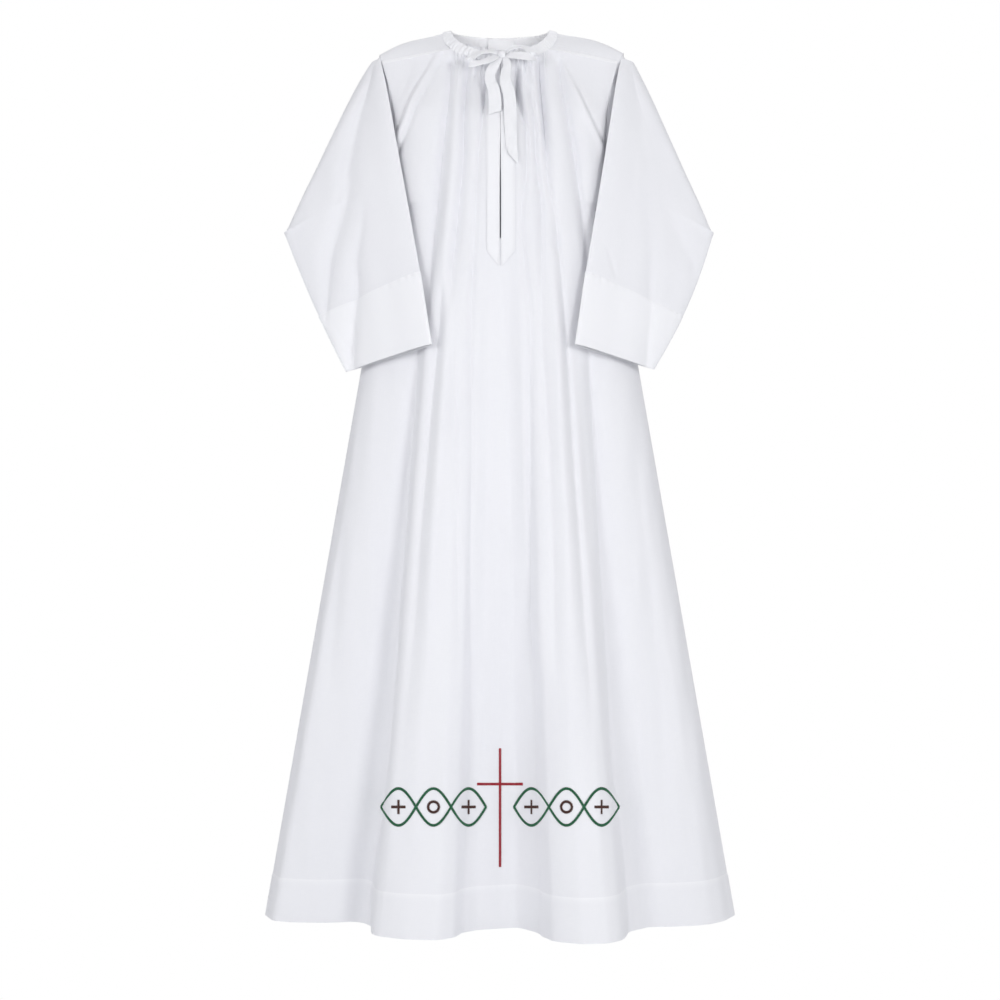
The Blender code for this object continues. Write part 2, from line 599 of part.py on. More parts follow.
# ---- Label: a small woven strip sewn inside the back of the casing, hanging a little below it
grid = []
out = []
for x in LABEL_X:
    points, outs = casing_section(math.pi - math.asin(abs(x) / CASING_LOW_X), math.copysign(1.0, x))
    inner = points - outs * (np.array(CASING_WALLS) + LABEL_GAP)[:, None]
    low = inner[0] - (0, LABEL_GAP, 0)
    top = LABEL_UP * inner[2] + (1.0 - LABEL_UP) * inner[1]
    line = np.array([low - (0, 0, LABEL_DROP), low, inner[1], top])
    line[:, 0] = x
    grid.append(line)
    out.append(np.array([outs[1], outs[1], outs[1], outs[2]]))
grid_solid("label", np.array(grid).transpose(1, 0, 2), np.array(out).transpose(1, 0, 2), LABEL_WALL)

# ---- Placket: a strip on each edge of the slit, each ending in half of the point
for label, first, sign in (("right", slit_column - 1, 1), ("left", slit_column + 1, -1)):
    pair = [first, first + 1]
    lines = [list(front_grid[: slit_row + 1, j]) for j in pair]
    outs = [list(front_out[: slit_row + 1, j]) for j in pair]
    ends = (STRIP_SHOULDER_Z, STRIP_POINT_Z) if label == "right" else (STRIP_POINT_Z, STRIP_SHOULDER_Z)
    for line, out, j, end in zip(lines, outs, pair, ends):
        a = front_grid[slit_row, j]
        b = front_grid[slit_row + 1, j]
        for z in (0.5 * (a[2] + end), end):
            share = (z - a[2]) / (b[2] - a[2])
            line.append(a + (b - a) * share)
            out.append(unit(front_out[slit_row, j] * (1 - share) + front_out[slit_row + 1, j] * share))
    strip = np.array(lines).transpose(1, 0, 2)
    out = np.array(outs).transpose(1, 0, 2)
    strip = strip + out * (STRIP_GAP + STRIP_WALL)
    strip[0, :, 2] -= SEAM
    grid_solid("placket_" + label, strip, out, STRIP_WALL, shift=(0, -0.5 * SEAM, 0))

# ---- Sleeves and cuffs: flat tubes folded forward along a line from the shoulder to the elbow corner


def lerp(a, b, share):
    return np.asarray(a) + (np.asarray(b) - np.asarray(a)) * share


def sleeve_lines(side, share):
    """Over-arm point, fold point (on the mid surface) and underarm point of the ring at this share."""
    over = np.array([np.interp(share, OVER_ARM["share"], OVER_ARM[side_key])
                     for side_key in (side["name"] + "_x", "y", "z")])
    elbow = np.array(side["elbow"])
    if share < FOLD_SHARE:
        along = 1.0 - (1.0 - share / FOLD_SHARE) ** FOLD_BEND
        start = np.array(side["fold_start"])
        fold = lerp(start, elbow, along)
        fold[0] -= SHOULDER_ROUND * math.exp(-along / SHOULDER_ROUND_LENGTH)
        direction = unit((elbow - start) * (1, 0, 1))
        inward = np.array((direction[2], 0.0, -direction[0]))
        fold = fold + inward * fold_half_gap(share)
        under = lerp(UNDERARM, elbow, share / FOLD_SHARE)
        return over, fold, under
    past = (share - FOLD_SHARE) / (1 - FOLD_SHARE)
    under = lerp(elbow, side["cuff_low"], past)
    direction = unit((np.array(side["cuff_low"]) - elbow) * (1, 0, 1))
    under = under + np.array((-direction[2], 0.0, direction[0])) * side["bulge"] * math.sin(math.pi * past)
    return over, under, under


def fold_half_gap(share):
    return float(np.interp(share, FOLD_GAP["share"], FOLD_GAP["half"]))


def middle_point(side, share, u):
    """Mid surface of the flattened sleeve: u from -1 (over-arm) through 0 (fold) to 1 (underarm)."""
    over, fold, under = sleeve_lines(side, share)
    depth = float(np.interp(share, FOLD_DEPTH["share"], FOLD_DEPTH["y"]))
    if u <= 0:
        vector = (over - fold) * (1, 0, 1)
        length = np.linalg.norm(vector)
        below = np.linalg.norm((under - np.array(side["elbow"])) * (1, 0, 1))
        past = 0.0 if share <= FOLD_SHARE else PAST_FOLD * below
        d = -u * length
        start = past * math.tanh(past / FLAT_ROLL)
        bend = (d + past) * math.tanh((d + past) / FLAT_ROLL) - start
        full = (length + past) * math.tanh((length + past) / FLAT_ROLL) - start
        point = fold + vector * (bend / full)
        turn = math.tanh((d + past) / ROLL) / math.tanh((length + past) / ROLL)
        point[1] = -(depth * turn + (-over[1] - depth) * (d / length))
        return point
    vector = (under - fold) * (1, 0, 1)
    length = max(np.linalg.norm(vector), 1e-6)
    d = u * length
    bend = d * math.tanh(d / FLAT_ROLL) / (length * math.tanh(length / FLAT_ROLL))
    point = fold + vector * bend
    point[1] = BEHIND * math.tanh(d / ROLL) * (1 - u) + under[1] * u
    return point


def sleeve_ring(side, share, inset, wall):
    """Points of one ring: over-arm, 10 of the back layer, underarm, 10 of the front layer."""
    over, fold, under = sleeve_lines(side, share)
    flap = np.linalg.norm((over - fold) * (1, 0, 1))
    rest = np.linalg.norm((under - fold) * (1, 0, 1)) if share < FOLD_SHARE else 0.0
    total = flap + rest
    edge = SLEEVE_EDGE
    if share < FOLD_SHARE - 1e-6:
        step = min(FOLD_STEP, FOLD_STEP_SHARE * flap)
        past = flap + min(FOLD_STEP, FOLD_STEP_SHARE * rest)
        left = total - edge - past
        places = [0, edge] + [q * (flap - step) for q in FLAP_PLACES] + [flap - step, flap, past]
        places += [past + left * q for q in REST_PLACES] + [total - edge, total]
        if flap < NARROW_FLAP:
            places[1:4] = [q * (flap - step) for q in NARROW_PLACES]
    else:
        q = min(1, EVENING * (share - FOLD_SHARE) / (1 - FOLD_SHARE))
        places = [0, edge] + [total * (a + (b - a) * q) for a, b in zip(ELBOW_PLACES, EVEN_PLACES)]
        places += [total - edge, total]
    ends = inset * INSET_AT_EDGES
    back = []
    front = []
    for k, d in enumerate(places):
        moved = ends + d * (total - 2 * ends) / total
        u = min(0.0, (moved - flap) / flap) if moved <= flap or not rest else (moved - flap) / rest
        point = middle_point(side, share, u)
        e = 1e-3
        du = middle_point(side, share, min(u + e, 1.0 if rest else 0.0))
        du = du - middle_point(side, share, max(u - e, -1.0))
        ds = middle_point(side, min(share + e, 1.0), u) - middle_point(side, share - e, u)
        out = np.cross(ds, du)
        out = out / max(np.linalg.norm(out), 1e-12)
        near_end = min(d, total - d)
        cap = math.sqrt(max(0.0, 1 - (1 - min(near_end, EDGE_ROUND) / EDGE_ROUND) ** 2))
        wide = SLEEVE_HALF_GAP + OPEN_HALF_GAP * max(0.0, 1 - share / OPEN_END_SHARE) ** 2
        keys = (0, 0.6 * flap, flap, flap + 0.5 * rest + 1e-6, total + 2e-6)
        if share < FOLD_SHARE:
            gap = np.interp(d, keys, (SLEEVE_HALF_GAP, SLEEVE_HALF_GAP, fold_half_gap(share), wide, wide))
        else:
            gap = SLEEVE_HALF_GAP + CUFF_WIDENING * (share - FOLD_SHARE)
        half = gap * cap
        if k in (0, len(places) - 1):
            half = 0.0
        elif inset:
            half = max(half - wall, SEAM)
        back.append(point + out * half)
        front.append(point - out * half)
    return back + front[-2:0:-1]


def armhole_ring(yoke):
    """The armhole's edge in the same order: shoulder, back to underarm, then front back up."""
    ends = [shoulder_line(yoke, -i / 4) for i in range(5)]
    rows = [point for point, _ in ends]
    outs = [out for _, out in ends]
    for z in ARMHOLE_ROWS[1:]:
        rows.append(np.array((float(half_width(z)), -float(armhole_depth(z)), z)))
        outs.append(armhole_out(z, 1.0, True))
    rows[-1] = np.array((float(half_width(UNDERARM_Z)), 0.0, UNDERARM_Z))
    outs[-1] = np.array((1.0, 0.0, 0.0))
    front = list(zip(rows, outs))
    back = [(p * (1, -1, 1), n * (1, -1, 1)) for p, n in front]
    ring = back + front[-2:0:-1]
    points = np.array([p for p, _ in ring]) + np.array(ARMHOLE_GAP)
    return points, points - np.array([n for _, n in ring]) * WALL


for label, side in SLEEVE_SIDES.items():
    side["name"] = label
    flip = np.array((side["side"], 1, 1))
    start_outer, start_inner = armhole_ring(YOKE_SIDES[label])
    outer = [start_outer] + [np.array(sleeve_ring(side, s, 0.0, WALL)) for s in SLEEVE_RINGS]
    inner = [start_inner] + [np.array(sleeve_ring(side, s, WALL, WALL)) for s in SLEEVE_RINGS]
    outer = np.array(outer) * flip
    inner = np.array(inner) * flip
    rows, columns = outer.shape[:2]
    solid("sleeve_" + label, outer.reshape(-1, 3), inner.reshape(-1, 3), grid_faces(rows, columns, True))
    outer = np.array([sleeve_ring(side, s, 0.0, DOUBLE_WALL) for s in CUFF_RINGS]) * flip
    inner = np.array([sleeve_ring(side, s, DOUBLE_WALL, DOUBLE_WALL) for s in CUFF_RINGS]) * flip
    rows, columns = outer.shape[:2]
    solid("cuff_" + label, outer.reshape(-1, 3), inner.reshape(-1, 3), grid_faces(rows, columns, True))

# ---- Bow: the drawstring's knot, its two loops and its two free ends


def smooth_path(rows, steps):
    """Rows of numbers joined by a Catmull-Rom curve, with this many steps between two rows."""
    rows = np.array(rows, dtype=float)
    wide = np.concatenate([2 * rows[:1] - rows[1:2], rows, 2 * rows[-1:] - rows[-2:-1]])
    found = []
    for k in range(len(rows) - 1):
        a, b, c, d = wide[k:k + 4]
        for t in np.arange(steps) / steps:
            found.append(0.5 * (2 * b + (c - a) * t + (2 * a - 5 * b + 4 * c - d) * t * t
                                + (3 * b - a - 3 * c + d) * t ** 3))
    found.append(rows[-1])
    return np.array(found)


for name, rows in BOW_STRETCHES.items():
    path = smooth_path(rows, TAPE_STEPS)
    middle = path[:, :3]
    tangent = unit(np.gradient(middle, axis=0))
    across = path[:, 3:6] - tangent * np.sum(path[:, 3:6] * tangent, axis=1)[:, None]
    across = unit(across)
    half = 0.5 * path[:, 6:7] * across
    out = np.cross(across, tangent)
    grid = np.stack([middle - half, middle + half], axis=1) + 0.5 * TAPE_WALL * out[:, None]
    grid_solid(name, grid, np.stack([out, out], axis=1), TAPE_WALL)

build = bmesh.new()
bmesh.ops.create_uvsphere(build, u_segments=KNOT_SEGMENTS[0], v_segments=KNOT_SEGMENTS[1], radius=1.0)
bmesh.ops.scale(build, vec=KNOT_RADII, verts=build.verts)
bmesh.ops.translate(build, vec=KNOT_CENTRE, verts=build.verts)
bmesh.ops.triangulate(build, faces=build.faces)
mesh = bpy.data.meshes.new("bow_knot")
build.to_mesh(mesh)
build.free()
mesh.materials.append(material("bow_knot", CLOTH_COLOR, CLOTH_ROUGHNESS))
bpy.context.scene.collection.objects.link(bpy.data.objects.new("bow_knot", mesh))
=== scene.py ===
"""Alb: a long white vestment with a drawstring neck, wide sleeves folded forward and an embroidered hem.

The garment hangs filled out and hollow, in the frame of its construction model: +X is the wearer's left,
-Y is the front, +Z is up, and the origin lies in the middle of the neck opening. Lengths are metres.
"""

import math

import bpy
import numpy as np
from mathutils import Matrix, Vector
from mathutils.bvhtree import BVHTree


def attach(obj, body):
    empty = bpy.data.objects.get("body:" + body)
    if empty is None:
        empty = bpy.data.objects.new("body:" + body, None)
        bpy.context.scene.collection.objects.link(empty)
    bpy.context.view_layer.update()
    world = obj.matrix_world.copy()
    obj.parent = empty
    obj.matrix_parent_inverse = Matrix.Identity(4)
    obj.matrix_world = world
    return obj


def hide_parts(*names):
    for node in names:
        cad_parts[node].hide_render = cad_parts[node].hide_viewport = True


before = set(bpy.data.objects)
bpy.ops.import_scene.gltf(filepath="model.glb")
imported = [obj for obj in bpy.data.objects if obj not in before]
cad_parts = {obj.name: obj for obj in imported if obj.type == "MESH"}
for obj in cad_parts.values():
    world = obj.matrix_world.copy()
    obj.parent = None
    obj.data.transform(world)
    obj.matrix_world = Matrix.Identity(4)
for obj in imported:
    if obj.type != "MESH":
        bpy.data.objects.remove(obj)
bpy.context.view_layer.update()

# ---- Front panel
# The front of the body, cut in one piece of white plain-woven polyester and cotton. Its top edge is drawn up
# into the neck casing and joined to the yokes, and a slit runs down the middle of the chest. The skirt flares
# to the hem, and the gathers run together into long uneven folds.

CLOTH = 0.0006

# Heights of the armhole's top, the underarm, the hem's stitches, the foot, and where the hem's waves run out
ARMHOLE_TOP_Z = -0.059
UNDERARM_Z = -0.301
STITCH_Z = -1.392
HEM_Z = -1.462
FOLD_TOP_Z = -0.25
# The armhole opens from front to back below its crest
ARMHOLE_CREST_Z = -0.0407
ARMHOLE_DEPTH = 0.0445

# The body's outline from the front, its depth down the middle, and the hem's waves over shares of half width
HALF_WIDTH = {
    "z": (-0.040, -0.059, -0.100, -0.150, -0.200, -0.250, -0.301, -1.462),
    "x": (0.1985, 0.1925, 0.1815, 0.1735, 0.1715, 0.1755, 0.1840, 0.3880),
}
FRONT_DEPTH = {
    "z": (-0.050, -0.066, -0.100, -0.150, -0.200, -0.280, -0.400, -0.600, -1.462),
    "y": (0.060, 0.068, 0.080, 0.093, 0.104, 0.112, 0.111, 0.108, 0.110),
}
FRONT_HEM = {
    "share": (-1.0, -0.955, -0.85, -0.62, -0.58, -0.554, -0.530, -0.489, -0.38, -0.252, -0.179, -0.094,
              0.0, 0.072, 0.108, 0.142, 0.205, 0.327, 0.434, 0.496, 0.538, 0.612, 0.808, 0.887, 0.948, 1.0),
    "y": (0.0, 0.042, 0.054, 0.060, 0.070, 0.093, 0.131, 0.149, 0.167, 0.174, 0.159, 0.111,
          0.096, 0.096, 0.119, 0.154, 0.183, 0.198, 0.193, 0.171, 0.134, 0.095, 0.077, 0.063, 0.040, 0.0),
}
HEM_ROUNDING = 0.011

# The seam under the neck casing, and how far round the neck from the middle of the front the yoke begins
CASING_LOW_X = 0.0935
CASING_LOW_FRONT_Y = 0.0665
CASING_LOW_BACK_Y = 0.0700
YOKE_ANGLE = math.radians(57)

# The slit, its two sides, and the outer edges of the placket strips
STRIP_X = (-0.0212, 0.0236)
SLIT_X = (-0.0006, 0.0018)
SLIT_END_Z = -0.357
# It is nearly shut above the first height and opens over the second length below it
SLIT_SHUT = {"share": 0.22, "z": -0.17, "length": 0.12}

# Fine rows of the panels: on the armhole, down the skirt and down the hem
ARMHOLE_LEVELS = np.linspace(ARMHOLE_TOP_Z, UNDERARM_Z, 68)
SKIRT_LEVELS = np.linspace(UNDERARM_Z, STITCH_Z, 116)[1:]
HEM_LEVELS = np.linspace(STITCH_Z, HEM_Z, 14)[1:]
LEVELS = np.concatenate([ARMHOLE_LEVELS, SKIRT_LEVELS, HEM_LEVELS])
STITCH_ROW = len(ARMHOLE_LEVELS) + len(SKIRT_LEVELS) - 1
# Columns of half a panel inside and outside the yoke's corner, which lies at this share of the way out
FRONT_COLUMNS = (60, 44)
FRONT_JOINT = 0.5
STRIP_COLUMNS = 8
SLIT_COLUMN = sum(FRONT_COLUMNS) + STRIP_COLUMNS

# Drops below the shoulder over which the panels pass from their seams to their own outline
EASE = {"z": 0.20, "x": 0.22, "y": 0.10}

# Small gathers under the casing
FRONT_GATHERS = {"pitch": 0.0088, "height": 0.0021, "reach": 0.026}

# Folds of the front. Each row: x, z, half width, and height above the cloth or, below nought, depth into it.
# A fifth number, where a row has one, narrows the side nearer the middle to that share.
FRONT_FOLDS = {
    "under_bow": ((-0.0375, -0.066, 0.0022, -0.0035), (-0.0400, -0.085, 0.0030, -0.0039),
                  (-0.0450, -0.104, 0.0040, 0.0)),
    "neck_left": ((-0.0520, -0.062, 0.0046, -0.0105), (-0.0562, -0.121, 0.0057, -0.0143),
                  (-0.0590, -0.169, 0.0064, -0.0149), (-0.0588, -0.217, 0.0066, -0.0143),
                  (-0.0622, -0.265, 0.0069, -0.0136), (-0.0670, -0.313, 0.0073, -0.0136),
                  (-0.0718, -0.361, 0.0076, -0.0143), (-0.0766, -0.409, 0.0076, -0.0105),
                  (-0.0800, -0.470, 0.0050, 0.0)),
    "breast_left": ((-0.0800, -0.060, 0.0060, -0.0093), (-0.0830, -0.121, 0.0078, -0.0143),
                    (-0.0878, -0.169, 0.0091, -0.0174), (-0.0926, -0.217, 0.0094, -0.0180),
                    (-0.0974, -0.265, 0.0094, -0.0180), (-0.1021, -0.313, 0.0091, -0.0155),
                    (-0.1085, -0.361, 0.0087, -0.0124), (-0.1130, -0.430, 0.0076, -0.0048),
                    (-0.1150, -0.500, 0.0056, 0.0)),
    "breast_left_ridge": ((-0.0720, -0.066, 0.0060, 0.0023), (-0.0740, -0.180, 0.0090, 0.0058),
                          (-0.0810, -0.300, 0.0090, 0.0058), (-0.0900, -0.440, 0.0080, 0.0023)),
    "drag_left": ((-0.1020, -0.047, 0.0055, 0.0033), (-0.1360, -0.117, 0.0060, 0.0063),
                  (-0.1680, -0.193, 0.0050, 0.0045), (-0.1760, -0.215, 0.0050, 0.0)),
    "drag_left_under": ((-0.1100, -0.048, 0.0028, -0.0028), (-0.1450, -0.115, 0.0032, -0.0059),
                        (-0.1740, -0.188, 0.0032, -0.0046)),
    "drag_left_over": ((-0.0935, -0.050, 0.0030, -0.0028), (-0.1260, -0.119, 0.0034, -0.0063),
                       (-0.1600, -0.198, 0.0034, -0.0049), (-0.1700, -0.222, 0.0034, 0.0)),
    "yoke_left_pucker": ((-0.1400, -0.056, 0.0030, -0.0021), (-0.1520, -0.090, 0.0050, -0.0039),
                         (-0.1640, -0.128, 0.0050, 0.0)),
    "soft_left": ((-0.0200, -0.085, 0.0034, -0.0048), (-0.0239, -0.121, 0.0045, -0.0110),
                  (-0.0287, -0.169, 0.0051, -0.0082), (-0.0335, -0.217, 0.0057, -0.0072),
                  (-0.0367, -0.265, 0.0060, -0.0072), (-0.0399, -0.361, 0.0065, -0.0062),
                  (-0.0430, -0.409, 0.0065, -0.0062)),
    "centre_left": ((-0.0431, -0.409, 0.0065, -0.0062), (-0.0447, -0.457, 0.0068, -0.0077),
                    (-0.0463, -0.552, 0.0074, -0.0091), (-0.0440, -0.680, 0.0080, -0.0096),
                    (-0.0460, -0.840, 0.0085, -0.0101), (-0.0460, -0.935, 0.0093, -0.0106),
                    (-0.0447, -1.063, 0.0113, -0.0134), (-0.0447, -1.191, 0.0142, -0.0168),
                    (-0.0500, -1.334, 0.0170, -0.0158), (-0.0559, -1.414, 0.0184, -0.0144),
                    (-0.0560, -1.462, 0.0184, -0.0134)),
    "flank_left_line": ((-0.0930, -0.440, 0.0053, -0.0048), (-0.0974, -0.504, 0.0059, -0.0067),
                        (-0.1045, -0.576, 0.0063, -0.0067), (-0.1117, -0.648, 0.0067, -0.0065),
                        (-0.1197, -0.744, 0.0074, -0.0060), (-0.1277, -0.840, 0.0084, -0.0058),
                        (-0.1325, -0.935, 0.0095, -0.0055), (-0.1390, -1.010, 0.0105, -0.0048),
                        (-0.1500, -1.127, 0.0115, -0.0029), (-0.1550, -1.200, 0.0110, 0.0)),
    "flank_left_ridge": ((-0.0830, -0.460, 0.0065, 0.0020), (-0.0890, -0.590, 0.0080, 0.0075),
                         (-0.1010, -0.752, 0.0095, 0.0086), (-0.1080, -0.849, 0.0105, 0.0080),
                         (-0.1140, -0.965, 0.0125, 0.0060), (-0.1200, -1.150, 0.0150, 0.0)),
    "strip_right": ((0.0290, -0.078, 0.0030, -0.0078), (0.0275, -0.100, 0.0032, -0.0092),
                    (0.0270, -0.135, 0.0030, 0.0)),
    "gather_right_1": ((0.0400, -0.070, 0.0020, -0.0028), (0.0430, -0.105, 0.0030, 0.0)),
    "gather_right_2": ((0.0505, -0.070, 0.0022, -0.0039), (0.0540, -0.095, 0.0030, -0.0028),
                       (0.0560, -0.125, 0.0040, 0.0)),
    "neck_right": ((0.0650, -0.062, 0.0043, -0.0143), (0.0676, -0.121, 0.0055, -0.0198),
                   (0.0718, -0.169, 0.0057, -0.0229), (0.0750, -0.217, 0.0064, -0.0167),
                   (0.0782, -0.265, 0.0066, -0.0112), (0.0880, -0.313, 0.0066, -0.0068),
                   (0.0942, -0.361, 0.0069, -0.0093)),
    "breast_right": ((0.0980, -0.060, 0.0055, -0.0093), (0.1053, -0.121, 0.0073, -0.0155),
                     (0.1133, -0.169, 0.0085, -0.0180), (0.1215, -0.217, 0.0087, -0.0174),
                     (0.1277, -0.265, 0.0087, -0.0155), (0.1341, -0.313, 0.0087, -0.0130),
                     (0.1400, -0.370, 0.0085, -0.0087), (0.1450, -0.450, 0.0056, 0.0)),
    "drag_right": ((0.0990, -0.046, 0.0050, 0.0030), (0.1300, -0.126, 0.0060, 0.0054),
                   (0.1650, -0.201, 0.0050, 0.0039)),
    "drag_right_groove": ((0.1050, -0.052, 0.0028, -0.0035), (0.1390, -0.134, 0.0032, -0.0066),
                          (0.1740, -0.205, 0.0032, -0.0053)),
    "soft_right": ((0.0500, -0.110, 0.0052, -0.0062), (0.0559, -0.169, 0.0057, -0.0124),
                   (0.0575, -0.217, 0.0060, -0.0130), (0.0622, -0.265, 0.0066, -0.0124),
                   (0.0670, -0.313, 0.0066, -0.0112), (0.0670, -0.409, 0.0069, -0.0093),
                   (0.0670, -0.504, 0.0065, -0.0072), (0.0718, -0.600, 0.0068, -0.0072),
                   (0.0782, -0.696, 0.0070, -0.0067), (0.0814, -0.792, 0.0076, -0.0062),
                   (0.0846, -0.935, 0.0086, -0.0058), (0.0862, -0.999, 0.0095, -0.0043),
                   (0.0880, -1.090, 0.0080, 0.0)),
    "broad_right": ((0.0240, -0.080, 0.0045, -0.0081), (0.0280, -0.121, 0.0054, -0.0140),
                    (0.0400, -0.169, 0.0059, -0.0130), (0.0431, -0.217, 0.0063, -0.0113),
                    (0.0415, -0.265, 0.0065, -0.0092), (0.0345, -0.313, 0.0068, -0.0065),
                    (0.0367, -0.361, 0.0072, -0.0076), (0.0399, -0.409, 0.0075, -0.0092),
                    (0.0463, -0.457, 0.0077, -0.0097), (0.0490, -0.530, 0.0084, -0.0119),
                    (0.0468, -0.620, 0.0089, -0.0151), (0.0463, -0.740, 0.0095, -0.0162),
                    (0.0447, -0.860, 0.0105, -0.0178), (0.0431, -0.980, 0.0119, -0.0189),
                    (0.0495, -1.063, 0.0133, -0.0200), (0.0511, -1.191, 0.0164, -0.0227),
                    (0.0527, -1.334, 0.0193, -0.0216), (0.0559, -1.414, 0.0208, -0.0205),
                    (0.0559, -1.462, 0.0208, -0.0194)),
    "outer_right": ((0.0942, -0.361, 0.0065, -0.0072), (0.1021, -0.457, 0.0071, -0.0086),
                    (0.1085, -0.552, 0.0074, -0.0096), (0.1165, -0.696, 0.0080, -0.0101),
                    (0.1229, -0.792, 0.0085, -0.0096), (0.1293, -0.887, 0.0093, -0.0091),
                    (0.1357, -0.999, 0.0102, -0.0077), (0.1404, -1.063, 0.0113, -0.0067),
                    (0.1452, -1.191, 0.0127, -0.0038), (0.1480, -1.260, 0.0090, 0.0)),
    "outer_right_ridge": ((0.0840, -0.400, 0.0050, 0.0), (0.0880, -0.457, 0.0060, 0.0045),
                          (0.0930, -0.552, 0.0070, 0.0069), (0.0985, -0.696, 0.0080, 0.0075),
                          (0.1040, -0.792, 0.0085, 0.0075), (0.1110, -0.935, 0.0100, 0.0066),
                          (0.1180, -1.090, 0.0120, 0.0036), (0.1230, -1.200, 0.0130, 0.0)),
    "faint": ((0.0030, -0.410, 0.0060, 0.0), (0.0060, -0.470, 0.0070, -0.0018),
              (0.0140, -0.700, 0.0090, -0.0021), (0.0160, -0.900, 0.0100, 0.0)),
    "flank_left": ((-0.1300, -0.500, 0.0080, 0.0, 0.50), (-0.1370, -0.600, 0.0110, -0.0100, 0.45),
                   (-0.1470, -0.696, 0.0130, -0.0140, 0.42), (-0.1590, -0.840, 0.0165, -0.0180, 0.38),
                   (-0.1690, -0.935, 0.0190, -0.0205, 0.36), (-0.1790, -1.063, 0.0220, -0.0230, 0.34),
                   (-0.1910, -1.191, 0.0240, -0.0250, 0.32), (-0.2100, -1.334, 0.0250, -0.0260, 0.30),
                   (-0.2190, -1.414, 0.0250, -0.0250, 0.30), (-0.2200, -1.462, 0.0250, -0.0240, 0.30)),
    "flank_right": ((0.1400, -0.500, 0.0080, 0.0, 0.50), (0.1470, -0.600, 0.0110, -0.0100, 0.45),
                    (0.1550, -0.696, 0.0140, -0.0140, 0.42), (0.1635, -0.840, 0.0180, -0.0180, 0.38),
                    (0.1705, -0.935, 0.0210, -0.0210, 0.36), (0.1790, -1.063, 0.0250, -0.0240, 0.34),
                    (0.1880, -1.191, 0.0280, -0.0270, 0.32), (0.2055, -1.334, 0.0300, -0.0280, 0.30),
                    (0.2130, -1.430, 0.0300, -0.0260, 0.30), (0.2140, -1.462, 0.0300, -0.0250, 0.30)),
    "flank_right_line": ((0.2020, -1.050, 0.0040, 0.0), (0.2150, -1.120, 0.0046, -0.0024),
                         (0.2400, -1.270, 0.0050, -0.0028), (0.2580, -1.390, 0.0050, -0.0010)),
    "skirt_side_left": ((-0.2450, -0.640, 0.0120, 0.0), (-0.2600, -0.850, 0.0180, -0.0049),
                        (-0.2780, -1.080, 0.0220, -0.0053), (-0.2950, -1.300, 0.0240, -0.0018)),
    "skirt_side_right": ((0.2150, -0.600, 0.0120, 0.0), (0.2350, -0.850, 0.0160, -0.0046),
                         (0.2600, -1.100, 0.0200, -0.0059), (0.2760, -1.330, 0.0180, -0.0035)),
    "centre_left_fine": ((-0.0718, -0.520, 0.0040, 0.0), (-0.0718, -0.600, 0.0059, -0.0040),
                         (-0.0702, -0.700, 0.0062, -0.0052), (-0.0686, -0.840, 0.0068, -0.0048),
                         (-0.0662, -0.960, 0.0076, -0.0036), (-0.0660, -1.060, 0.0060, 0.0)),
}


def smooth(value):
    value = np.clip(value, 0.0, 1.0)
    return value * value * (3.0 - 2.0 * value)


def unit(vectors):
    return vectors / np.linalg.norm(vectors, axis=-1, keepdims=True)


def smooth_path(rows, steps):
    """Rows of numbers joined by a Catmull-Rom curve, with this many steps between two rows."""
    rows = np.array(rows, dtype=float)
    wide = np.concatenate([2 * rows[:1] - rows[1:2], rows, 2 * rows[-1:] - rows[-2:-1]])
    found = []
    for k in range(len(rows) - 1):
        a, b, c, d = wide[k:k + 4]
        for t in np.arange(steps) / steps:
            found.append(0.5 * (2 * b + (c - a) * t + (2 * a - 5 * b + 4 * c - d) * t * t
                                + (3 * b - a - 3 * c + d) * t ** 3))
    found.append(rows[-1])
    return np.array(found)


def half_width(z):
    return np.interp(-z, [-v for v in HALF_WIDTH["z"]], HALF_WIDTH["x"])


def armhole_depth(z):
    """Half of the armhole's opening from front to back at height z; none below the underarm."""
    share = np.clip((ARMHOLE_CREST_Z - z) / (ARMHOLE_CREST_Z - UNDERARM_Z), 0.0, 1.0)
    return ARMHOLE_DEPTH * np.sqrt(np.clip(np.sin(np.pi * share), 0.0, 1.0))


def rounded(table):
    """The hem's section as a smooth table: straight between its rows, with the corners rounded."""
    share = np.linspace(-1.3, 1.3, 1041)
    inner = np.interp(share, table["share"], table["y"])
    inner = np.where(share < -1, -np.interp(-2 - share, table["share"], table["y"]), inner)
    inner = np.where(share > 1, -np.interp(2 - share, table["share"], table["y"]), inner)
    steps = np.arange(-40, 41) * (share[1] - share[0])
    kernel = np.exp(-0.5 * (steps / HEM_ROUNDING) ** 2)
    return share, np.convolve(inner, kernel / kernel.sum(), mode="same")


def body_depth(x, z, depths, section):
    """Distance of the body's cloth in front of, or behind, the plane of the side seams."""
    width = half_width(z)
    share = np.clip(np.abs(x) / width, 0.0, 1.0)
    edge = armhole_depth(z)
    middle = np.interp(-z, [-v for v in depths["z"]], depths["y"])
    power = 1.0 / np.interp(-z, [0.06, 0.30], [1.3, 2.0])
    chest = edge + (middle - edge) * (1.0 - share ** 2.2) ** power
    hem = np.interp(x / width, *section)
    blend = np.clip((FOLD_TOP_Z - z) / (FOLD_TOP_Z - HEM_Z), 0.0, 1.0) ** 1.1
    return chest * (1.0 - blend) + hem * blend


def casing_low(angle):
    """Points of the seam between the casing and the panels; angle 0 is the front, pi is the back."""
    c = np.cos(angle)
    front = c >= 0
    x = CASING_LOW_X * np.sin(angle)
    y = -np.where(front, CASING_LOW_FRONT_Y, CASING_LOW_BACK_Y) * c
    z = -0.004 + np.where(front, -0.060 * np.abs(c) ** 0.9, 0.0065 * c)
    return np.stack([x, y, z], axis=-1)


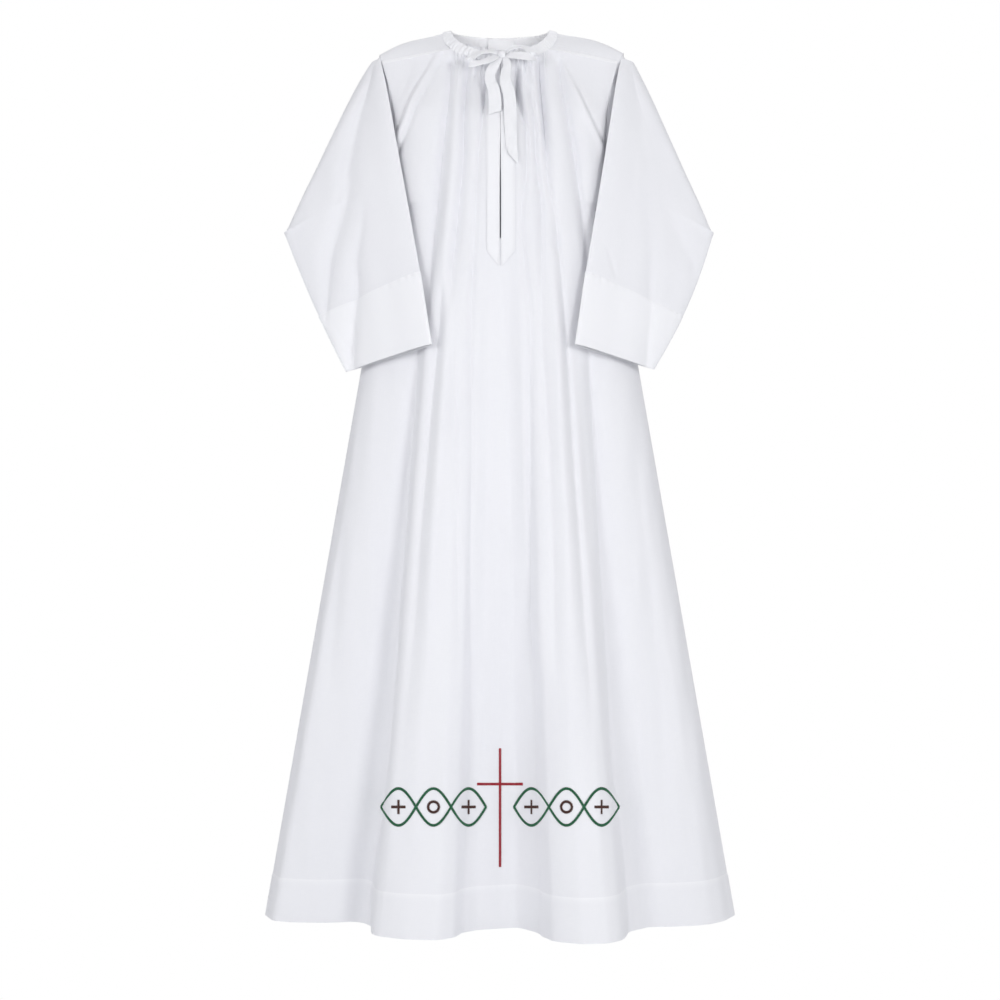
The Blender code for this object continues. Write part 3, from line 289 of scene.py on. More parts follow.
def seam_shares(section, sign, inner, joint, counts):
    """Shares of a half panel's columns, with one on the yoke's corner, at even lengths round the hem."""
    share = np.linspace(inner / HALF_WIDTH["x"][-1], 1.0, 500)
    x = share * HALF_WIDTH["x"][-1]
    y = np.interp(sign * share, *section)
    length = np.concatenate([[0], np.cumsum(np.hypot(np.diff(x), np.diff(y)))])
    along = (share - share[0]) / (1.0 - share[0])
    middle = np.interp(joint, along, length)
    lengths = np.concatenate([np.linspace(0, middle, counts[0] + 1)[1:],
                              np.linspace(middle, length[-1], counts[1] + 1)[1:]])
    found = np.interp(lengths, length, along)
    found[counts[0] - 1] = joint
    found[-1] = 1.0
    return found


def columns_of(section, inner, joint, counts, fixed):
    """A panel's columns from right to left: x or side, share of the way out, inner limit, if x is fixed."""
    right = seam_shares(section, -1, -inner[0], joint, counts)[::-1]
    left = seam_shares(section, 1, inner[1], joint, counts)
    middle = np.zeros(len(fixed))
    return {
        "x": np.concatenate([0 * right - 1, fixed, 0 * left + 1]),
        "share": np.concatenate([right, middle, left]),
        "inner": np.concatenate([0 * right - inner[0], middle, 0 * left + inner[1]]),
        "fixed": np.concatenate([0 * right, middle + 1, 0 * left]) > 0,
    }


def tops_of(columns, joint, start, side):
    """Top points of the columns: on the casing in the middle, on the yoke's seam further out."""
    sign = np.where(columns["x"] > 0, 1.0, -1.0)
    share = columns["share"]
    near = np.arcsin(np.clip(np.abs(columns["x"]) / CASING_LOW_X, 0.0, 1.0))
    angle = np.where(columns["fixed"], near, start + (YOKE_ANGLE - start) * np.clip(share / joint, 0.0, 1.0))
    points = casing_low(angle if side < 0 else math.pi - angle)
    inner = casing_low(np.array(YOKE_ANGLE if side < 0 else math.pi - YOKE_ANGLE))
    outer = np.array((half_width(ARMHOLE_TOP_Z), side * armhole_depth(ARMHOLE_TOP_Z), ARMHOLE_TOP_Z))
    out = np.clip((share - joint) / (1.0 - joint), 0.0, 1.0)[:, None]
    points = np.where(out > 0, inner + (outer - inner) * out, points)
    points[:, 0] *= sign
    return points


def panel_points(columns, tops, depths, section, side):
    """Points of a panel: a row for each level and a column for each line of the cloth."""
    level = LEVELS[:, None]
    share = columns["share"]
    sign = np.sign(columns["x"])
    drop = ARMHOLE_TOP_Z - level
    eased = {axis: smooth(drop / length) for axis, length in EASE.items()}
    z = level + (tops[:, 2] - ARMHOLE_TOP_Z) * (1.0 - eased["z"])
    free = sign * (columns["inner"] + (half_width(z) - columns["inner"]) * share)
    x = tops[:, 0] + (np.where(columns["fixed"], columns["x"], free) - tops[:, 0]) * eased["x"]
    corner = float(half_width(ARMHOLE_TOP_Z))
    edge = corner + (half_width(level) - corner) * eased["x"]
    x = x + share ** 6 * sign * (half_width(level) - edge)
    y = tops[:, 1] + (side * body_depth(x, z, depths, section) - tops[:, 1]) * eased["y"]
    corner = float(armhole_depth(ARMHOLE_TOP_Z))
    edge = corner + (armhole_depth(level) - corner) * eased["y"]
    y = y + share ** 12 * side * (armhole_depth(level) - edge)
    return np.stack([x, y, z], axis=-1)


def grid_normals(grid, facing):
    """Directions out of a grid of points; facing is a rough direction that they share."""
    found = unit(np.cross(np.gradient(grid, axis=1), np.gradient(grid, axis=0)) + 1e-15)
    middle = found[found.shape[0] // 2, found.shape[1] // 2]
    return found if np.dot(middle, facing) > 0 else -found


# Lengths over which a fold fades out above its first row and below its last, and how blunt a valley is
FOLD_FADE = (0.012, 0.030)
VALLEY_BLUNT = 0.25


def fold_heights(x, z, folds):
    """Height of the listed folds over the cloth at each point: narrow valleys and round ridges."""
    height = np.zeros_like(x)
    for rows in folds.values():
        path = smooth_path(rows, 8)
        down = -path[:, 1]
        middle, half, top = (np.interp(-z, down, path[:, k]) for k in (0, 2, 3))
        ends = smooth((-z - down[0]) / FOLD_FADE[0] + 1.0) * smooth((down[-1] + z) / FOLD_FADE[1] + 1.0)
        off = np.abs(x - middle) / half
        if path.shape[1] > 4:
            off = off / np.where(np.abs(x) < np.abs(middle), np.interp(-z, down, path[:, 4]), 1.0)
        valley = np.exp(VALLEY_BLUNT - np.sqrt(off ** 2 + VALLEY_BLUNT ** 2))
        height += top * ends * np.where(top < 0, valley, np.exp(-0.5 * off ** 2))
    return height


DRIFT_HEIGHT = 0.00045


def drift(across, down):
    """Slow unevenness of hanging cloth, in metres: long along the warp, short across it."""
    return DRIFT_HEIGHT * (np.sin(across * 71.0 + 2.1 * np.sin(down * 3.7) + 0.4)
                           + 0.8 * np.sin(across * 133.0 + 1.6 * np.sin(down * 5.3 + 1.0) + 2.0)
                           + 0.6 * np.sin(across * 29.0 - down * 6.1 + 0.9))


def gather_heights(along, drop, pitch, height, reach):
    """Small gathers under a drawn-up seam: along it, and down from it; they die away at uneven lengths."""
    phase = along / pitch + 0.42 * np.sin(along / 0.019 + 0.7) + 0.30 * np.sin(along / 0.0083 + 2.2)
    length = reach * (0.75 + 0.55 * np.sin(along / 0.013 + 1.1) ** 2)
    return height * (2.0 * np.abs(np.sin(np.pi * phase)) ** 0.8 - 1.2) * np.exp(-drop / length)


def lengths_along(grid):
    """Distance along each row of a grid, from its first point."""
    steps = np.linalg.norm(np.diff(grid, axis=1), axis=2)
    return np.concatenate([np.zeros((len(grid), 1)), np.cumsum(steps, axis=1)], axis=1)


def quads(rows, columns, closed=False):
    """Faces of a grid, with their points in turn; a closed grid joins its last column to its first."""
    across = columns if closed else columns - 1
    i, j = np.meshgrid(np.arange(rows - 1), np.arange(across), indexing="ij")
    k = (j + 1) % columns
    return np.stack([i * columns + j, i * columns + k, (i + 1) * columns + k, (i + 1) * columns + j], axis=-1)


def piece_from(name, points, faces, uv, double_and_highlight, look, sharp_degrees=55):
    """A smooth-shaded piece on the garment's one body; double_and_highlight is one where its cloth has two
    layers, and it also carries the painted highlight along the hem's stitches.
    """
    mesh = bpy.data.meshes.new(name)
    mesh.from_pydata(np.asarray(points).tolist(), [], list(faces))
    layers = mesh.attributes.new("double_and_highlight", "FLOAT", "POINT")
    layers.data.foreach_set("value", np.broadcast_to(double_and_highlight, len(points)).astype(np.float32))
    layer = mesh.uv_layers.new(name="cloth")
    order = np.zeros(len(mesh.loops), np.int32)
    mesh.loops.foreach_get("vertex_index", order)
    layer.data.foreach_set("uv", np.asarray(uv, dtype=np.float32)[order].ravel())
    mesh.shade_smooth()
    mesh.set_sharp_from_angle(angle=math.radians(sharp_degrees))
    mesh.materials.append(look)
    made = bpy.data.objects.new(name, mesh)
    bpy.context.scene.collection.objects.link(made)
    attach(made, "root")
    return made


def shell(name, outer, out, wall, uv, look, closed=False, hole=None, double_and_highlight=0.0):
    """A wall under a grid of outer points, closed round its edges. hole marks the faces that are left out."""
    rows, columns = outer.shape[:2]
    inner = outer - out * wall
    faces = quads(rows, columns, closed)
    kept = np.ones(faces.shape[:2], bool) if hole is None else ~hole
    faces = faces[kept]
    pairs = np.concatenate([np.stack([faces[:, k], faces[:, (k + 1) % 4]], axis=1) for k in range(4)])
    known = set(map(tuple, pairs.tolist()))
    rim = np.array([(a, b) for a, b in known if (b, a) not in known])
    rim = rim[np.lexsort((rim[:, 1], rim[:, 0]))]
    count = rows * columns
    sides = np.stack([rim[:, 1], rim[:, 0], rim[:, 0] + count, rim[:, 1] + count], axis=1)
    a, b, c = (outer.reshape(-1, 3)[faces[:, k]] for k in (0, 1, 3))
    turned = np.sum(np.cross(b - a, c - a) * out.reshape(-1, 3)[faces[:, 0]]) < 0
    every = np.concatenate([faces, faces[:, ::-1] + count, sides])
    every = every[:, ::-1] if turned else every
    points = np.concatenate([outer.reshape(-1, 3), inner.reshape(-1, 3)])
    used, every = np.unique(every, return_inverse=True)
    wide = np.concatenate([uv.reshape(-1, 2), uv.reshape(-1, 2)])
    double_and_highlight = np.tile(np.broadcast_to(double_and_highlight, outer.shape[:2]).ravel(), 2)
    return piece_from(name, points[used], every.reshape(-1, 4).tolist(), wide[used], double_and_highlight[used], look)


def new_group(name, inputs, outputs):
    """An empty shader group with named inputs (name, default) and outputs (name, type)."""
    tree = bpy.data.node_groups.new(name, "ShaderNodeTree")
    for label, default in inputs:
        kind = "NodeSocketVector" if label == "Place" else "NodeSocketFloat"
        socket = tree.interface.new_socket(label, in_out="INPUT", socket_type=kind)
        if default is not None:
            socket.default_value = default
    for label, kind in outputs:
        tree.interface.new_socket(label, in_out="OUTPUT", socket_type=kind)
    return tree, tree.nodes.new("NodeGroupInput"), tree.nodes.new("NodeGroupOutput")


def put(tree, kind, links, **settings):
    """A new node in a tree, with its settings, and its inputs linked or given a value."""
    node = tree.nodes.new(kind)
    for key, value in settings.items():
        setattr(node, key, value)
    for key, value in links.items():
        socket = node.inputs[key]
        if isinstance(value, bpy.types.NodeSocket):
            tree.links.new(value, socket)
        else:
            socket.default_value = value
    return node


def maths(tree, operation, *values):
    """The outcome of a sum in a tree; each value is a socket or a number."""
    return put(tree, "ShaderNodeMath", dict(enumerate(values)), operation=operation).outputs[0]


def colours(tree, share, first, second):
    """A colour between two, each of them a socket or three numbers."""
    ends = [end if isinstance(end, bpy.types.NodeSocket) else (*end, 1.0) for end in (first, second)]
    return put(tree, "ShaderNodeMix", {0: share, 6: ends[0], 7: ends[1]}, data_type="RGBA").outputs[2]


def weave_group():
    """Plain weave: crossing threads with slubs. Place is in metres; Pitch is from one thread to the next."""
    tree, start, end = new_group("plain weave", (("Place", None), ("Pitch", 0.00042), ("Slubs", 1.0)),
                                 (("Height", "NodeSocketFloat"), ("Shade", "NodeSocketFloat")))
    apart = put(tree, "ShaderNodeSeparateXYZ", {0: start.outputs["Place"]})
    turns = maths(tree, "DIVIDE", math.pi, start.outputs["Pitch"])
    waves = [maths(tree, "SINE", maths(tree, "MULTIPLY", apart.outputs[axis], turns)) for axis in (0, 1)]
    cross = maths(tree, "MULTIPLY", *waves)
    streaks = []
    for scale in ((1400.0, 60.0, 1.0), (60.0, 1400.0, 1.0)):
        spread = put(tree, "ShaderNodeVectorMath", {0: start.outputs["Place"], 1: scale},
                     operation="MULTIPLY")
        noise = {"Vector": spread.outputs[0], "Scale": 1.0, "Detail": 2.0, "Roughness": 0.6}
        streaks.append(put(tree, "ShaderNodeTexNoise", noise, noise_dimensions="2D").outputs["Fac"])
    both = maths(tree, "ADD", *streaks)
    slubs = maths(tree, "MULTIPLY", both, start.outputs["Slubs"])
    height = maths(tree, "MULTIPLY_ADD", cross, 0.5, slubs)
    shade = put(tree, "ShaderNodeMapRange", {"Value": both, "From Min": 0.7, "From Max": 1.3})
    tree.links.new(height, end.inputs["Height"])
    tree.links.new(shade.outputs[0], end.inputs["Shade"])
    return tree


def crumple_group():
    """Soft creases left by folding and wear: broad dents and finer short wrinkles, and a share that is low in
    the broad dents, used to paint shade into them.
    """
    tree, start, end = new_group("soft crumple", (("Place", None), ("Broad", 14.0), ("Fine", 55.0)),
                                 (("Height", "NodeSocketFloat"), ("Mask", "NodeSocketFloat")))
    place = start.outputs["Place"]
    broad = put(tree, "ShaderNodeTexNoise", {"Vector": place, "Scale": start.outputs["Broad"],
                                             "Detail": 2.0, "Roughness": 0.5})
    fine = put(tree, "ShaderNodeTexNoise", {"Vector": place, "Scale": start.outputs["Fine"],
                                            "Detail": 3.0, "Roughness": 0.55, "Distortion": 0.6})
    height = maths(tree, "MULTIPLY_ADD", fine.outputs["Fac"], 0.22, broad.outputs["Fac"])
    dent_shade = put(tree, "ShaderNodeMapRange", {"Value": broad.outputs["Fac"], "From Min": 0.3, "From Max": 0.7})
    tree.links.new(height, end.inputs["Height"])
    tree.links.new(dent_shade.outputs[0], end.inputs["Mask"])
    return tree


WEAVE = weave_group()
CRUMPLE = crumple_group()


def cloth_look(name, light, dark, double_and_highlight, pitch=0.00042, weave_depth=0.00010, crumple_depth=0.0016,
               roughness=0.82, stretch=(1.0, 1.0, 0.45)):
    """A woven cloth: two close colours, with painted shade in the broad dents, paler where it is double and
    in a painted highlight along the hem's stitches, a weave on its own UV and soft creases.
    """
    look = bpy.data.materials.new(name)
    look.use_nodes = True
    tree = look.node_tree
    shader = tree.nodes["Principled BSDF"]
    shader.inputs["Sheen Weight"].default_value = 0.12
    shader.inputs["Sheen Roughness"].default_value = 0.5
    shader.inputs["Specular IOR Level"].default_value = 0.25
    uv = put(tree, "ShaderNodeUVMap", {}, uv_map="cloth")
    place = put(tree, "ShaderNodeTexCoord", {})
    long = put(tree, "ShaderNodeMapping", {"Vector": place.outputs["Object"], "Scale": stretch})
    weave = put(tree, "ShaderNodeGroup", {}, node_tree=WEAVE)
    weave.inputs["Pitch"].default_value = pitch
    tree.links.new(uv.outputs["UV"], weave.inputs["Place"])
    crumple = put(tree, "ShaderNodeGroup", {}, node_tree=CRUMPLE)
    tree.links.new(long.outputs["Vector"], crumple.inputs["Place"])
    # The colour is darker in the crumple's broad dents and paler on their rises: painted shade. The weave's
    # slubs add the cloth's own uneven tone.
    dent_shade_and_slubs = maths(tree, "MULTIPLY_ADD", crumple.outputs["Mask"], 0.6, weave.outputs["Shade"])
    share = put(tree, "ShaderNodeMapRange", {"Value": dent_shade_and_slubs, "From Max": 1.6})
    single = colours(tree, share.outputs[0], dark, light)
    # Paler where the cloth is double, and in the painted highlight along the hem's stitches
    layers = put(tree, "ShaderNodeAttribute", {}, attribute_name="double_and_highlight")
    colour = colours(tree, layers.outputs["Fac"], single, double_and_highlight)
    rough = put(tree, "ShaderNodeMapRange", {"Value": weave.outputs["Shade"], "To Min": roughness - 0.06,
                                             "To Max": roughness + 0.06})
    soft = put(tree, "ShaderNodeBump", {"Height": crumple.outputs["Height"], "Distance": crumple_depth,
                                        "Strength": 1.0})
    fine = put(tree, "ShaderNodeBump", {"Height": weave.outputs["Height"], "Distance": weave_depth,
                                        "Strength": 0.7, "Normal": soft.outputs["Normal"]})
    tree.links.new(colour, shader.inputs["Base Color"])
    tree.links.new(rough.outputs[0], shader.inputs["Roughness"])
    tree.links.new(fine.outputs["Normal"], shader.inputs["Normal"])
    return look


WHITE_CLOTH = cloth_look("white cloth", (0.872, 0.873, 0.902), (0.838, 0.840, 0.874), (0.935, 0.936, 0.958))

front_section = rounded(FRONT_HEM)
slit_columns = np.concatenate([np.linspace(STRIP_X[0], SLIT_X[0], STRIP_COLUMNS + 1),
                               np.linspace(SLIT_X[1], STRIP_X[1], STRIP_COLUMNS + 1)])
front_columns = columns_of(front_section, STRIP_X, FRONT_JOINT, FRONT_COLUMNS, slit_columns)
front_tops = tops_of(front_columns, FRONT_JOINT, math.asin(STRIP_X[1] / CASING_LOW_X), -1)
front_grid = panel_points(front_columns, front_tops, FRONT_DEPTH, front_section, -1)
front_out = grid_normals(front_grid, (0, -1, 0))

slit_open = smooth((SLIT_SHUT["z"] - LEVELS) / SLIT_SHUT["length"])
slit_open = SLIT_SHUT["share"] + (1 - SLIT_SHUT["share"]) * slit_open
for step in range(STRIP_COLUMNS + 1):
    pull = (1 - slit_open) * 0.5 * (SLIT_X[1] - SLIT_X[0]) * (1 - step / STRIP_COLUMNS)
    front_grid[:, SLIT_COLUMN - step, 0] += pull
    front_grid[:, SLIT_COLUMN + 1 + step, 0] -= pull

# Widths over which folds fade out at the sides, gathers beside the yoke, and unevenness below the neck
SEAM_FADE = 0.012
GATHER_FADE = 0.12
NECK_FADE = 0.05


def folded(grid, out, tops, along, folds, gathers, facing, lean=(1.0, 1.0, 1.0), start=0.0):
    """A panel with its folds, slow unevenness and gathers raised on it, and the directions out of it."""
    drop = tops[None, :, 2] - grid[..., 2]
    angle = np.arcsin(np.clip(np.abs(tops[:, 0]) / CASING_LOW_X, 0, 1))
    height = fold_heights(grid[..., 0], grid[..., 2], folds)
    height += drift(along + start, grid[..., 2]) * smooth(drop / NECK_FADE)
    height += gather_heights(along[0][None, :], drop, **gathers) * smooth((YOKE_ANGLE - angle) / GATHER_FADE)
    near = lengths_along(grid)
    height *= smooth(near / SEAM_FADE) * smooth((near[:, -1:] - near) / SEAM_FADE)
    grid = grid + unit(out * lean) * height[..., None]
    return grid, grid_normals(grid, facing)


front_along = lengths_along(front_grid)
front_along -= front_along[:, [np.argmin(np.abs(slit_columns)) + sum(FRONT_COLUMNS)]]
# The front's folds go mostly straight into the cloth, so that they stay in line from top to bottom
front_grid, front_out = folded(front_grid, front_out, front_tops, front_along, FRONT_FOLDS, FRONT_GATHERS,
                               (0, -1, 0), lean=(0.25, 1.0, 1.0))
front_uv = np.stack([front_along, np.broadcast_to(LEVELS[:, None], front_along.shape)], axis=-1)

slit_hole = np.zeros((STITCH_ROW, front_grid.shape[1] - 1), bool)
slit_hole[LEVELS[:STITCH_ROW] > SLIT_END_Z, SLIT_COLUMN] = True
body = slice(0, STITCH_ROW + 1)
front = shell("front", front_grid[body], front_out[body], CLOTH, front_uv[body], WHITE_CLOTH, hole=slit_hole)
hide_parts("front")

# ---- Back panel
# The back of the body, of the same cloth. It is drawn up into the casing between the yokes and joined to them
# at the shoulders, and it falls in folds like those of the front.

BACK_DEPTH = {
    "z": (-0.010, -0.050, -0.100, -0.200, -0.350, -0.500, -0.650, -0.800, -1.462),
    "y": (0.070, 0.088, 0.102, 0.111, 0.105, 0.101, 0.108, 0.112, 0.120),
}
BACK_HEM = {
    "share": (-1.0, -0.95, -0.80, -0.66, -0.56, -0.47, -0.33, -0.20, -0.11,
              0.0, 0.10, 0.18, 0.30, 0.42, 0.52, 0.62, 0.78, 0.90, 0.955, 1.0),
    "y": (0.0, 0.038, 0.058, 0.070, 0.105, 0.150, 0.172, 0.165, 0.128,
          0.112, 0.120, 0.150, 0.176, 0.168, 0.120, 0.084, 0.062, 0.052, 0.036, 0.0),
}
BACK_JOINT = 0.46
BACK_COLUMNS = (54, 42)
BACK_GATHERS = {"pitch": 0.0096, "height": 0.0019, "reach": 0.026}
# Rows as for the front
BACK_FOLDS = {
    "spine": ((0.0060, -0.012, 0.0031, -0.0049), (0.0040, -0.120, 0.0072, -0.0090),
              (-0.0020, -0.300, 0.0096, -0.0098), (-0.0060, -0.520, 0.0120, -0.0067),
              (-0.0060, -0.760, 0.0120, 0.0)),
    "blade_left": ((0.0340, -0.010, 0.0034, -0.0063), (0.0400, -0.140, 0.0078, -0.0120),
                   (0.0460, -0.330, 0.0096, -0.0120), (0.0500, -0.560, 0.0108, -0.0108),
                   (0.0520, -0.800, 0.0132, -0.0090), (0.0500, -1.100, 0.0168, -0.0036)),
    "blade_left_ridge": ((0.0560, -0.030, 0.0060, 0.0020), (0.0640, -0.200, 0.0085, 0.0066),
                         (0.0740, -0.480, 0.0090, 0.0078), (0.0820, -0.800, 0.0120, 0.0059),
                         (0.0880, -1.100, 0.0150, 0.0)),
    "outer_left": ((0.0700, -0.016, 0.0036, -0.0059), (0.0880, -0.120, 0.0078, -0.0112),
                   (0.1050, -0.300, 0.0096, -0.0112), (0.1180, -0.520, 0.0108, -0.0090),
                   (0.1300, -0.760, 0.0120, -0.0067), (0.1440, -1.050, 0.0120, 0.0)),
    "drag_left": ((0.0980, -0.022, 0.0050, 0.0043), (0.1360, -0.110, 0.0062, 0.0078),
                  (0.1660, -0.190, 0.0052, 0.0051)),
    "drag_left_groove": ((0.1060, -0.026, 0.0036, -0.0045), (0.1450, -0.112, 0.0043, -0.0081),
                         (0.1730, -0.196, 0.0041, -0.0053)),
    "blade_right": ((-0.0280, -0.010, 0.0031, -0.0059), (-0.0350, -0.150, 0.0072, -0.0112),
                    (-0.0420, -0.340, 0.0090, -0.0116), (-0.0480, -0.600, 0.0108, -0.0094),
                    (-0.0500, -0.900, 0.0144, -0.0067), (-0.0520, -1.180, 0.0150, 0.0)),
    "middle_right": ((-0.0560, -0.014, 0.0036, -0.0067), (-0.0680, -0.160, 0.0084, -0.0120),
                     (-0.0790, -0.360, 0.0096, -0.0104), (-0.0870, -0.560, 0.0108, -0.0059),
                     (-0.0920, -0.720, 0.0100, 0.0)),
    "middle_right_ridge": ((-0.0640, -0.300, 0.0060, 0.0), (-0.0700, -0.480, 0.0085, 0.0066),
                           (-0.0780, -0.760, 0.0110, 0.0070), (-0.0860, -1.060, 0.0140, 0.0020)),
    "outer_right": ((-0.0780, -0.016, 0.0036, -0.0049), (-0.1020, -0.150, 0.0084, -0.0104),
                    (-0.1200, -0.340, 0.0102, -0.0104), (-0.1300, -0.560, 0.0114, -0.0076),
                    (-0.1400, -0.800, 0.0132, -0.0027)),
    "drag_right": ((-0.1020, -0.022, 0.0050, 0.0039), (-0.1340, -0.100, 0.0062, 0.0070),
                   (-0.1680, -0.186, 0.0050, 0.0043)),
    "drag_right_groove": ((-0.0940, -0.026, 0.0036, -0.0041), (-0.1240, -0.106, 0.0043, -0.0076),
                          (-0.1600, -0.196, 0.0041, -0.0045)),
    "skirt_side_left": ((0.2300, -0.620, 0.0140, 0.0), (0.2500, -0.860, 0.0216, -0.0067),
                        (0.2700, -1.120, 0.0240, -0.0067), (0.2860, -1.340, 0.0240, -0.0022)),
    "skirt_side_right": ((-0.2200, -0.660, 0.0140, 0.0), (-0.2460, -0.900, 0.0216, -0.0059),
                         (-0.2700, -1.160, 0.0240, -0.0063), (-0.2860, -1.360, 0.0240, -0.0022)),
}

back_section = rounded(BACK_HEM)
back_columns = columns_of(back_section, (0.0, 0.0), BACK_JOINT, BACK_COLUMNS, np.zeros(1))
back_tops = tops_of(back_columns, BACK_JOINT, 0.0, 1)
back_grid = panel_points(back_columns, back_tops, BACK_DEPTH, back_section, 1)
back_out = grid_normals(back_grid, (0, 1, 0))
back_along = lengths_along(back_grid)
back_along -= back_along[:, [sum(BACK_COLUMNS)]]
back_grid, back_out = folded(back_grid, back_out, back_tops, back_along, BACK_FOLDS, BACK_GATHERS, (0, 1, 0),
                             start=0.7)
back_uv = np.stack([back_along, np.broadcast_to(LEVELS[:, None], back_along.shape)], axis=-1)
back = shell("back", back_grid[body], back_out[body], CLOTH, back_uv[body], WHITE_CLOTH)
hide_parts("back")

# ---- Hem
# The foot of each panel, turned up 70 mm inside and sewn round, so the cloth is double there and stands a
# little stiffer, with a line of small puckers along the stitches. A pale line of painted highlight runs along
# the stitches, where the turned edge catches the light.

HEM_CLOTH = 0.0012
# The doubled cloth stands this much proud, and rises to it over this width below the stitches
TURN_UP = {"least": 0.0003, "rise": 0.0005, "width": 0.004}
HEM_PUCKERS = {"height": 0.0005, "pitch": 0.011}
PUCKER_REACH = 0.010


def pucker_heights(along, off, height, pitch):
    """Small ripples across a line of stitches, which die away on both sides of it."""
    ripple = np.sin(2 * np.pi * along / pitch + 1.7 * np.sin(along / 0.031) + 1.1 * np.sin(along / 0.0137))
    strength = 0.55 + 0.45 * np.sin(along / 0.047 + 0.8)
    return height * strength * ripple * np.exp(-(off / PUCKER_REACH) ** 2)


def turn_up_rise(down):
    """Height of the doubled cloth over the single cloth, this far down from the line of stitches."""
    return TURN_UP["least"] + TURN_UP["rise"] * smooth(down / TURN_UP["width"])


hem_rows = slice(STITCH_ROW, None)
for name, grid, out, along, uv, width in (("hem_front", front_grid, front_out, front_along, front_uv, 1.08),
                                          ("hem_back", back_grid, back_out, back_along, back_uv, 1.04)):
    down = STITCH_Z - LEVELS[hem_rows][:, None]
    rise = turn_up_rise(down) + pucker_heights(along[hem_rows], down, **HEM_PUCKERS)
    rise[-1] -= TURN_UP["least"]
    raised = grid[hem_rows] + out[hem_rows] * rise[..., None]
    # The doubled cloth is a touch paler, and a narrow band at the stitches is paler still: a painted
    # highlight along the turned edge
    hem = shell(name, raised, out[hem_rows], HEM_CLOTH, uv[hem_rows], WHITE_CLOTH,
                double_and_highlight=0.12 + 0.5 * np.exp(-(down / 0.005) ** 2))
    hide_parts(name)

# ---- Yokes
# A strip over each shoulder, of the same cloth, that joins the front and the back between the neck and the
# sleeve. Its seams are turned in and sewn flat, and the cloth puckers along them.

YOKE_SIDES = {
    "right": {"side": -1, "shoulder": (0.1985, 0.0, -0.0395), "rise": 0.0062, "lean": 1.45},
    "left": {"side": 1, "shoulder": (0.2040, 0.0, -0.0370), "rise": 0.0072, "lean": 1.30},
}
YOKE_ROWS = 57
YOKE_COLUMNS = 45
# The turned-in seams lie this far in from the front and back edges, and the cloth between them is lower
YOKE_SEAM = 0.0045
YOKE_SINK = 0.0008
YOKE_PUCKERS = {"height": 0.0005, "pitch": 0.009}
YOKE_GATHERS = {"pitch": 0.0080, "height": 0.0006, "reach": 0.012}
# The edge rows reach out by this share of a step, and the whole strip clears its neighbours by this much
YOKE_LAP = 0.6
YOKE_CLEAR = 0.0004


def shoulder_line(yoke, psi):
    """The yoke's seam with the sleeve: psi runs from -1, front, over the ridge at 0, to 1, back."""
    front_end = np.array((half_width(ARMHOLE_TOP_Z), -armhole_depth(ARMHOLE_TOP_Z), ARMHOLE_TOP_Z))
    back_end = front_end * (1, -1, 1)
    psi = np.asarray(psi)[..., None]
    point = front_end * (psi * psi - psi) / 2 + np.array(yoke["shoulder"]) * (1 - psi * psi)
    return point + back_end * (psi * psi + psi) / 2


for label, yoke in YOKE_SIDES.items():
    psi = np.linspace(-1.0, 1.0, YOKE_ROWS)
    angle = 0.5 * math.pi + psi * (0.5 * math.pi - YOKE_ANGLE)
    neck = casing_low(angle)
    outer = shoulder_line(yoke, psi)
    share = np.linspace(0.0, 1.0, YOKE_COLUMNS)[None, :, None]
    grid = neck[:, None] + (outer - neck)[:, None] * share
    grid[..., 2] += yoke["rise"] * np.sin(np.pi * share[..., 0] ** yoke["lean"]) * (1 - psi * psi)[:, None]
    grid[..., 0] *= yoke["side"]
    out = grid_normals(grid, (0, 0, 1))
    along = lengths_along(grid)
    across = lengths_along(grid.transpose(1, 0, 2)).T
    near = np.minimum(across, across[-1:] - across)
    band = 1.0 - smooth((near - YOKE_SEAM) / 0.0015)
    rise = pucker_heights(along, across - 0.004, **YOKE_PUCKERS)
    rise = rise + pucker_heights(along + 0.3, across[-1:] - across - 0.004, **YOKE_PUCKERS)
    rise = rise + gather_heights(across, along, **YOKE_GATHERS) - YOKE_SINK * (1.0 - band)
    grid = grid + out * rise[..., None]
    grid[0] += (grid[0] - grid[1]) * YOKE_LAP
    grid[-1] += (grid[-1] - grid[-2]) * YOKE_LAP
    grid += (yoke["side"] * YOKE_CLEAR, 0, YOKE_CLEAR)
    yoke_piece = shell("yoke_" + label, grid, out, CLOTH, np.stack([along, across], axis=-1), WHITE_CLOTH,
                       double_and_highlight=0.05 + 0.6 * band)
    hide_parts("yoke_" + label)

# ---- Neck casing
# A narrow channel of double cloth round the neck, open at the slit. The tape drawn through it gathers the
# cloth into small uneven ruffles.

CASING_UP_X = 0.0795
CASING_UP_FRONT_Y = 0.0595
CASING_UP_BACK_Y = 0.0600
CASING_STATIONS = 460
CASING_FRONT_POINTS = 11
CASING_PITCH = 0.0072
CASING_WIDTH = 0.014
# Angle round the neck in degrees, then the direction out of the cloth
NECK_OUT = ((0, 0.00, -0.92, 0.39), (57, 0.30, -0.70, 0.65), (90, 0.33, 0.00, 0.94), (123, 0.25, 0.55, 0.80),
            (180, 0.00, 0.85, 0.53))
# Angle round the neck in degrees, and the ruffles' height there
RUFFLES = {
    "angle": (0, 30, 50, 70, 90, 115, 140, 180),
    "height": (0.0011, 0.0012, 0.0016, 0.0024, 0.0026, 0.0020, 0.0012, 0.0009),
}


def neck_out(angle):
    rows = np.array(NECK_OUT, dtype=float)
    return unit(np.stack([np.interp(np.degrees(angle), rows[:, 0], rows[:, k]) for k in (1, 2, 3)], axis=-1))


def casing_up(angle):
    """Points of the upper edge of the casing."""
    c = np.cos(angle)
    front = c >= 0
    x = CASING_UP_X * np.sin(angle)
    y = -np.where(front, CASING_UP_FRONT_Y, CASING_UP_BACK_Y) * c
    z = -0.001 + np.where(front, -0.050 * np.abs(c) ** 1.15, -0.004 * c)
    return np.stack([x, y, z], axis=-1)


